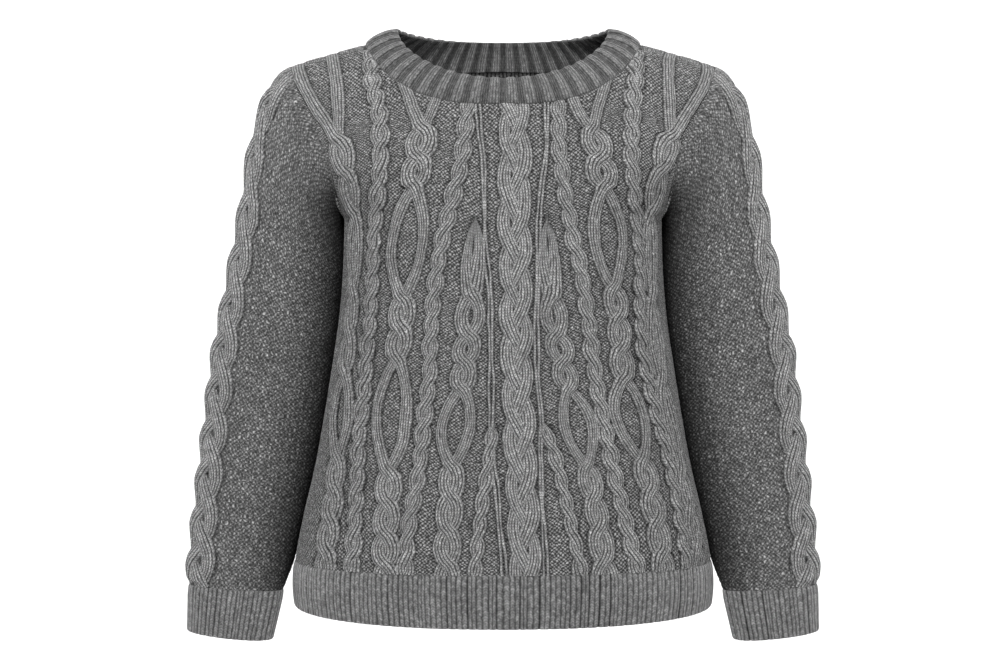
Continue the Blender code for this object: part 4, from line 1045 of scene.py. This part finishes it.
def sleeve_pieces(side, front, back, sign):
    """A sleeve in moss stitch, the plait down its outer side, and the ring that its cuff is sewn to."""
    knit, braid = Knit("sleeve_" + side + "_cloth"), Knit("sleeve_" + side + "_plait")
    sleeve = Sleeve(side, sign, armhole_ring(front, back, sign))
    ovals, down = sleeve.ovals, sleeve.down
    halves = np.array([0.5 * round_length(dense) for dense in ovals])[:, None]
    widest = math.ceil(halves.max() / MOSS[0])
    wales, rows = np.arange(-widest, widest + 1), np.arange(len(ovals))
    places = wales * MOSS[0]
    beyond = np.abs(places) > halves - CLEAR_OF_EDGE
    distances = np.where(beyond, np.sign(places) * halves, places)
    points, normal = sleeve.at(distances)
    draw = np.random.default_rng(DRAWS[side])
    half = STRANDS["arm"][0]
    strands = [(SLEEVE_PLAIT_FORWARD + swing + STRAY * slow_change(draw, down), lift)
               for swing, lift, _ in plait_path(down, SLEEVE_PLAIT_HALF - half)]
    beyond_strand = np.min([np.abs(distances - place[:, None]) for place, _ in strands], axis=0) - half
    start, end = (smooth(reach)[:, None] for reach in (
        down / SLEEVE_DITCH_ENDS[0], (down[-1] - down) / SLEEVE_DITCH_ENDS[1]))
    beside = ditch(beyond_strand) * start
    rise = checker(rows, wales, MOSS_RISE, draw) - DITCH * beside * end
    stray = draw.uniform(-0.5, 0.5, (2, *points.shape[:2])) * UNEVEN * ~beyond
    stray[:, [0, -1]] = 0
    moved = sleeve.at(distances + stray[0] * MOSS[0])[0]
    uneven = moved + np.gradient(points, axis=0) * stray[1][..., None]
    uneven = uneven + normal * (rise * ~beyond)[..., None]
    stitches = np.stack(np.broadcast_arrays(distances / (2 * MOSS[0]), rows[:, None] / 2), -1)
    # painted shade between arm and body and beside the plait
    outer = wrapped(knit, uneven, beyond, shade_beside_arm(points, ARM_SHADE) + beside)
    knit.grid(outer, stitches, MOSSED, flip=sign < 0)
    few_rows, few_wales = (every(len(line), step) for line, step in zip((rows, wales), INSIDE_STEPS["sleeve"]))
    few = np.ix_(few_rows, few_wales)
    inner = wrapped(knit, (points - normal * WALL)[few], beyond[few])
    knit.grid(inner, stitches[few], KNIT, flip=sign > 0)
    for edge, flip in ((0, sign > 0), (-1, sign < 0)):
        knit.join(outer[edge], wales, inner[edge], wales[few_wales], flip=flip)
    for place, lift in strands:
        sleeve.lay_strand(braid, place, lift)
    end = ovals[-1]
    end_normal = sleeve.at(np.tile(lengths_along(end), (len(ovals), 1)))[1][-1]
    return knit, braid, Ring(end, end - end_normal * WALL, end_normal, len(end) // 2, 2 * end - ovals[-2])


def ribs(count, profile, draw=None):
    """For each column of a band of so many ribs: its share of the way along, its rise, and its place in ribs.

    In a loose rib no two are alike: some are wider, and some furrows lie open.
    """
    furrows, shallow = np.arange(count + 1.0), np.zeros(count + 1)
    if draw:
        furrows[1:-1] += draw.uniform(-UNEVEN_RIB, UNEVEN_RIB, count - 1)
        shallow[:-1] = SHALLOW_FURROW * draw.uniform(0, 1, count)
        shallow[-1] = shallow[0]
    shares, rise, number = np.array([
        ((furrows[rib] + place * (furrows[rib + 1] - furrows[rib])) / count,
         raised + (1 - raised) * shallow[rib + round(place)],
         rib + place)
        for rib in range(count) for place, raised in profile]).T
    return shares, rise, number


def band_rows(kind):
    """How far down a band each row of points lies, and how far its ribs are raised there."""
    second, third, last, count, places, raised = BAND_ROWS[kind]
    levels = np.concatenate([[0, second], np.linspace(third, last, count)])
    return levels, np.interp(levels, places, raised)


def band(knit, rows, normals, rise, envelope, relief, thickness, furrow_shade, wales, is_ring, flip):
    """A ribbed band from its seam to its free edge, over the edge and back inside."""
    outside = rows + normals * (rise * envelope[:, None] * relief)[..., None]
    inside = rows - normals * (thickness + relief * INSIDE_RELIEF * (1 - rise) * envelope[:, None])[..., None]
    end = unit(rows[-1] - rows[-2])
    middle, half = 0.5 * (outside[-1] + inside[-1]), 0.5 * (outside[-1] - inside[-1])
    reach = end * np.linalg.norm(half, axis=-1, keepdims=True)
    turned = [middle + half * math.cos(angle) + reach * EDGE_ROUND * math.sin(angle)
              for angle in (math.pi / 4, math.pi / 2, 3 * math.pi / 4)]
    every_row = np.concatenate([outside, turned, inside[::-1]])
    # painted shade in the furrows and on the inside
    within = np.repeat((0.0, 0.0, INSIDE_SHADE), (len(outside), len(turned), len(inside)))
    index = knit.add(every_row, furrow_shade * (1 - rise) ** 2 + within[:, None])
    along = lengths_along(every_row.mean(axis=1) if is_ring else every_row[:, every_row.shape[1] // 2])
    stitches = np.stack(np.broadcast_arrays(wales[None], (along / COURSE)[:, None]), -1)
    knit.grid(index, stitches, RIBBED, is_ring=is_ring, flip=flip)
    columns = np.arange(index.shape[1])
    first, last = index[0], index[-1]
    if is_ring:
        first, last = closed(first), closed(last)
        columns = np.append(columns, len(columns))
    else:
        half_way = len(index) // 2 + 1
        for column, turned_round in ((0, flip), (-1, not flip)):
            out_side, in_side = index[:half_way, column], index[::-1, column][:half_way]
            places = np.arange(len(out_side))
            knit.join(out_side, places, in_side, places, flip=turned_round)
    knit.join(first, columns, last, columns, flip=not flip)


def cuff(side, ring, sign):
    knit = Knit("cuff_" + side + "_rib")
    start, end = (along_ring(dense, RING_SHARES * round_length(dense)) for dense in (
        ring.outer, oval(*CUFF_END, sign)))
    count = round(round_length(start) / EDGE_RIB)
    columns, rise, number = ribs(count, EDGE_PROFILE, np.random.default_rng(DRAWS[side] + RIB_DRAWS))
    levels, envelope = band_rows("cuff")
    between = [start + (end - start) * down for down in levels]
    rows = np.array([along_ring(dense, columns * round_length(dense)) for dense in between])
    band(knit, rows, tube_normals(rows), rise, envelope, EDGE_RELIEF, WALL, EDGE_FURROW_SHADE,
         EDGE_WALES * np.append(number, count), True, sign < 0)
    return knit


def neckband(front, back):
    knit = Knit("neckband_rib")
    ring = neck_ring(front, back)
    count = 2 * round(round_length(ring.outer) / NECK_RIB / 2)
    columns, rise, number = ribs(count, NECK_PROFILE)
    base, facing = ring.at(columns, ring.outer), ring.at(columns, ring.normal)
    angle = 2 * math.pi * np.linspace(0, 1, 2 * OPENING_POINTS + 1)
    ahead, sine = angle <= math.pi, np.abs(np.sin(angle))
    depth, power, dip = (np.where(ahead, *pair) for pair in zip(*OPENING))
    low = OPENING_TOP - dip * sine**DIP_POWER
    opening = np.stack([-OPENING_HALF * np.cos(angle), depth * sine**power, low], -1)
    top = points_at(columns, places_round(opening, OPENING_POINTS), opening)
    levels, envelope = band_rows("neck")
    levels = levels[:, None, None]
    rows = base + (top - base) * levels
    normals = tube_normals(rows)
    rows = rows + normals * BAND_SWELL * 4 * levels * (1 - levels)
    normals = unit(facing * (1 - levels) ** 3 + normals)
    wales = np.floor(number) * NECK_WALES[1][-1] + np.interp(np.mod(number, 1), *NECK_WALES)
    band(knit, rows, normals, rise, envelope, NECK_RELIEF, BAND_WALL, NECK_FURROW_SHADE,
         np.append(wales, count * NECK_WALES[1][-1]), True, True)
    return knit


def hem(side, cloth):
    """Half of the ribbed hem, from side seam to side seam."""
    knit = Knit("hem_" + side + "_rib")
    count = round(2 * cloth.half(0.0) / EDGE_RIB)
    shares, rise, number = ribs(count, EDGE_PROFILE, np.random.default_rng(DRAWS[side] + RIB_DRAWS))
    shares, rise, number = np.append(shares, 1.0), np.append(rise, 0.0), np.append(number, count)
    levels, envelope = band_rows("hem")
    ups = (HEM_BAND - SEAM / 2) * (1 - levels[:, None]) + HEM_LIFT * (2 * shares - 1) ** 2 * levels[:, None]
    rows, normal = cloth.at((2 * shares - 1) * cloth.half(ups), ups)
    normal = normal * (1, 1, 0)
    normal[:, [0, -1], 1] = 0
    rows[:, [0, -1], 1] = SEAM / 2 * (-1 if side == "front" else 1)
    band(knit, rows, unit(normal), rise, envelope, EDGE_RELIEF, WALL, EDGE_FURROW_SHADE, EDGE_WALES * number, False,
         side == "front")
    return knit


def linear(hex_colour):
    """An sRGB colour such as #808080 as linear numbers with full opacity."""
    parts = [int(hex_colour[place : place + 2], 16) / 255 for place in (1, 3, 5)]
    return tuple(part / 12.92 if part <= 0.04045 else ((part + 0.055) / 1.055) ** 2.4 for part in parts) + (1.0,)


def add(tree, kind, settings=(), links=()):
    """A node with its settings, and its inputs set or linked."""
    node = tree.nodes.new(kind)
    for name, value in dict(settings).items():
        setattr(node, name, value)
    for socket, value in dict(links).items():
        if isinstance(value, bpy.types.NodeSocket):
            tree.links.new(value, node.inputs[socket])
        else:
            node.inputs[socket].default_value = value
    return node


def work_out(tree, values, sums):
    """Adds the nodes of a short table of sums: the result's name, what is done, and what it is done to."""
    for name, operation, *terms in sums:
        links = {place: values.get(term, term) for place, term in enumerate(terms)}
        values[name] = add(tree, "ShaderNodeMath", {"operation": operation}, links).outputs[0]
    return values


# Knit side: the two legs of every stitch lean apart from the middle of its wale
KNIT_SUMS = (
    ("across", "FRACT", "u"),
    ("aside", "SUBTRACT", "across", 0.5),
    ("aside", "ABSOLUTE", "aside"),
    ("aside", "MULTIPLY", "aside", 2.0),
    ("lean", "MULTIPLY", "aside", 0.85),
    ("course", "SUBTRACT", "v", "lean"),
    ("leg", "FRACT", "course"),
    ("leg", "MULTIPLY", "leg", math.pi),
    ("leg", "SINE", "leg"),
    ("leg", "POWER", "leg", 0.6),
    ("leg", "MULTIPLY_ADD", "leg", 0.7, 0.3),
    ("gap", "POWER", "aside", 2.2),
    ("gap", "SUBTRACT", 1.0, "gap"),
    ("middle", "MULTIPLY_ADD", "aside", 2.0, 0.7),
    ("middle", "MINIMUM", "middle", 1.0),
    ("side", "MULTIPLY", "gap", "middle"),
    ("height", "MULTIPLY", "leg", "side"),
    ("stitch_u", "MULTIPLY", "u", 2.0),
    ("stitch_u", "FLOOR", "stitch_u"),
    ("stitch_v", "FLOOR", "course"),
)
# Short bars, every second one half a step along, and which bar a place belongs to
BARS = (
    ("over", "MULTIPLY", "u", 2 * math.pi),
    ("over", "COSINE", "over"),
    ("along", "MULTIPLY", "v", 2 * math.pi),
    ("along", "COSINE", "along"),
    ("bar", "MULTIPLY", "over", "along"),
    ("height", "MULTIPLY_ADD", "bar", 0.5, 0.5),
)
WHICH_BAR = (
    ("stitch_u", "ADD", "u", "v"),
    ("stitch_u", "ADD", "stitch_u", 0.5),
    ("stitch_u", "FLOOR", "stitch_u"),
    ("stitch_v", "SUBTRACT", "u", "v"),
    ("stitch_v", "ADD", "stitch_v", 0.5),
    ("stitch_v", "FLOOR", "stitch_v"),
)
# Purl bars are flat on top. The dots of moss stitch stand in columns down the sleeve.
PURL_SUMS = (*BARS, ("height", "SMOOTH_MIN", "height", 0.8, 0.2), *WHICH_BAR)
MOSS_SUMS = (*BARS, ("column", "MULTIPLY_ADD", "over", 0.16, 0.84), ("height", "MULTIPLY", "height", "column"),
             *WHICH_BAR)

# Each finish: its stitches, the share of light that their gaps keep where shade is painted into them, how sharp
# they are, how light the whole is, the relief of the yarn in mm, and how far the stitches are pulled about, in
# stitches
FINISHES = (
    ("wool_knit_side", KNIT_SUMS, 0.04, 2.0, 1.28, 1.3, 0.5),
    ("wool_purl_side", PURL_SUMS, 0.04, 3.0, 1.37, 1.1, 0.55),
    # the moss stitch is darker overall: partly its own deeper stitches, partly painted shade for the sleeves lying
    # further from the light
    ("wool_moss_stitch", MOSS_SUMS, 0.10, 2.0, 0.91, 1.2, 0.9),
    ("wool_ribbing", KNIT_SUMS, 0.13, 1.0, 0.56, 0.9, 0.4),
)
# Sizes in mm of what varies over the yarn, then its detail and roughness
PULL = (4.35, 1.0, 0.5)  # stitches pulled about, two or three at a time
FIBRE = (1.111, 3.0, 0.7)  # tufts of fibres
MARL = (3.85, 2.0, 0.6)  # dark and light lengths of the yarn
CLOUD = (42.0, 2.0, 0.5)  # whole patches


def speckle(tree, place, kind, output):
    size, detail, roughness = kind
    settings = {"Vector": place, "Scale": round(1 / (size * MM)), "Detail": detail, "Roughness": roughness}
    return add(tree, "ShaderNodeTexNoise", (), settings).outputs[output]


def stitches_of(tree, sums, loose):
    """How high the yarn stands at a place and the tone of that stitch, the stitches being pulled about a little."""
    uv = add(tree, "ShaderNodeUVMap", {"uv_map": "stitches"}).outputs[0]
    parts = add(tree, "ShaderNodeSeparateXYZ", (), {0: uv}).outputs
    place = add(tree, "ShaderNodeTexCoord").outputs["Object"]
    pulled = add(tree, "ShaderNodeSeparateXYZ", (), {0: speckle(tree, place, PULL, "Color")}).outputs
    values = work_out(tree, {"u": parts[0], "v": parts[1], "pull_u": pulled[0], "pull_v": pulled[1]}, (
        ("pull_u", "SUBTRACT", "pull_u", 0.5),
        ("pull_v", "SUBTRACT", "pull_v", 0.5),
        ("u", "MULTIPLY_ADD", "pull_u", loose, "u"),
        ("v", "MULTIPLY_ADD", "pull_v", 1.3 * loose, "v"),
        *sums,
    ))
    cell = add(tree, "ShaderNodeCombineXYZ", (), {0: values["stitch_u"], 1: values["stitch_v"]}).outputs[0]
    values["stitch"] = add(tree, "ShaderNodeTexWhiteNoise", {"noise_dimensions": "2D"}, {0: cell}).outputs[0]
    return place, values


def wool(name, sums, deep, contrast, tone, yarn_relief, loose):
    """Marl wool and acrylic blend, spun soft and knitted: matt, with fibres that catch the light at its edges.

    Dark and light fibres are mixed in the yarn, so no two stitches have the same grey. Shade is also painted into
    its colour: the gaps between stitches are darker, and so is every point by the shade painted on it, and its
    gloss is dimmed with that painted shade.
    """
    material = bpy.data.materials.new(name)
    material.use_nodes = True
    tree = material.node_tree
    tree.nodes.clear()
    place, values = stitches_of(tree, sums, loose)
    for result, kind in (("fibre", FIBRE), ("marl", MARL), ("cloud", CLOUD)):
        values[result] = speckle(tree, place, kind, 0)
    values["hollow"] = add(tree, "ShaderNodeAttribute", {"attribute_name": "hollow"}).outputs["Fac"]
    work_out(tree, values, (
        # painted shade: darker in the gaps between stitches, then darker by the shade painted on each point
        ("shade", "POWER", "height", contrast),
        ("shade", "MULTIPLY_ADD", "shade", tone * (1.0 - deep), tone * deep),
        # the share of colour and gloss left under the painted shade
        ("lit_share", "MULTIPLY_ADD", "hollow", -0.55, 1.0),
        ("lit_share", "MAXIMUM", "lit_share", 0.05),
        ("shade", "MULTIPLY", "shade", "lit_share"),
        ("gloss_in_painted_shade", "MULTIPLY", "lit_share", 0.2),
        ("stitch", "MULTIPLY_ADD", "stitch", 0.6, 0.7),
        ("marl", "MULTIPLY_ADD", "marl", 1.9, 0.05),
        ("fibre_tone", "MULTIPLY_ADD", "fibre", 0.9, 0.55),
        ("cloud", "MULTIPLY_ADD", "cloud", 0.24, 0.88),
        ("shade", "MULTIPLY", "shade", "stitch"),
        ("shade", "MULTIPLY", "shade", "marl"),
        ("shade", "MULTIPLY", "shade", "fibre_tone"),
        ("shade", "MULTIPLY", "shade", "cloud"),
        ("fuzz", "MULTIPLY_ADD", "fibre", 0.25, "height"),
    ))
    colour = add(tree, "ShaderNodeVectorMath", {"operation": "SCALE"},
                 {0: linear(YARN)[:3], "Scale": values["shade"]}).outputs[0]
    relief = {"Strength": 0.9, "Distance": yarn_relief * MM, "Height": values["fuzz"]}
    bump = add(tree, "ShaderNodeBump", (), relief)
    surface = add(tree, "ShaderNodeBsdfPrincipled", (), {
        "Base Color": colour,
        "Roughness": 0.92,
        "Specular IOR Level": values["gloss_in_painted_shade"],
        "Sheen Weight": values["gloss_in_painted_shade"],
        "Sheen Roughness": 0.5,
        "Normal": bump.outputs[0],
    })
    add(tree, "ShaderNodeOutputMaterial", (), {0: surface.outputs[0]})
    return material


def studio():
    """Soft light from the front and above, paler light from behind and both sides, and the camera."""
    scene = bpy.context.scene
    world = bpy.data.worlds.new("studio")
    world.use_nodes = True
    world.node_tree.nodes["Background"].inputs[0].default_value = (1.0, 1.0, 1.0, 1.0)
    world.node_tree.nodes["Background"].inputs[1].default_value = ALL_ROUND
    scene.world = world
    for name, place, size, power, aim in LAMPS:
        lamp = bpy.data.objects.new(name, bpy.data.lights.new(name, "AREA"))
        lamp.data.size = size
        lamp.data.energy = power
        lamp.location = place
        lamp.rotation_euler = (Vector(aim) - Vector(place)).to_track_quat("-Z", "Y").to_euler()
        scene.collection.objects.link(lamp)
    camera = bpy.data.objects.new("camera", bpy.data.cameras.new("camera"))
    camera.data.sensor_width = 36.0
    camera.data.lens = camera.data.sensor_width * CAMERA_AWAY / PIXEL / FRAME_WIDTH
    camera.data.shift_x = 1.0 / FRAME_WIDTH
    camera.location = Vector(MIDDLE) + Vector((0.0, -CAMERA_AWAY, 0.0))
    camera.rotation_euler = (math.pi / 2, 0.0, 0.0)
    scene.collection.objects.link(camera)
    scene.camera = camera
    scene.view_settings.view_transform = "Standard"


def sweep():
    """A pale floor that curves up behind."""
    angles = np.linspace(0, math.pi / 2, 13)
    bend = [(SWEEP_BACK + SWEEP_BEND * math.sin(angle), FLOOR_Z + SWEEP_BEND - SWEEP_BEND * math.cos(angle))
            for angle in angles]
    profile = [(SWEEP_FRONT, FLOOR_Z), *bend, (SWEEP_BACK + SWEEP_BEND, SWEEP_TOP)]
    points = [(x, y, z) for y, z in profile for x in (-SWEEP_HALF, SWEEP_HALF)]
    faces = [(2 * row, 2 * row + 1, 2 * row + 3, 2 * row + 2) for row in range(len(profile) - 1)]
    mesh = bpy.data.meshes.new("sweep")
    mesh.from_pydata(points, [], faces)
    mesh.shade_smooth()
    material = bpy.data.materials.new("painted_board")
    material.use_nodes = True
    surface = material.node_tree.nodes["Principled BSDF"]
    surface.inputs["Base Color"].default_value = linear(FLOOR)
    surface.inputs["Roughness"].default_value = 0.9
    mesh.materials.append(material)
    floor = bpy.data.objects.new("sweep", mesh)
    bpy.context.scene.collection.objects.link(floor)


def main():
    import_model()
    finishes = [wool(*finish) for finish in FINISHES]
    front, back = Panel("front", FRONT_TRACKS), Panel("back", BACK_TRACKS)

    def make(knit):
        piece = knit.build(finishes)
        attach(piece, "root")
        return piece

    def sheet(knit, node, cables=()):
        """A piece of cloth that stands for a node, and the cables that are knitted into it."""
        piece = make(knit)
        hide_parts(node)
        [make(cable) for cable in cables]

    sheet(front.ground_piece("front_ground"), "front", [
        cable_piece("front_cables_right", front, "_r"),
        cable_piece("front_plait", front, "plait"),
        cable_piece("front_cables_left", front, "_l"),
    ])
    sheet(back.ground_piece("back_ground"), "back", [cable_piece("back_cables", back)])
    sheet(neckband(front, back), "neckband")
    for side, sign in (("right", -1), ("left", 1)):
        cloth, braid, ring = sleeve_pieces(side, front, back, sign)
        sheet(cloth, "sleeve_" + side, [braid])
        sheet(cuff(side, ring, sign), "cuff_" + side)
    for side, panel in (("front", front), ("back", back)):
        sheet(hem(side, panel.cloth), "hem_" + side)
    studio()
    sweep()


main()
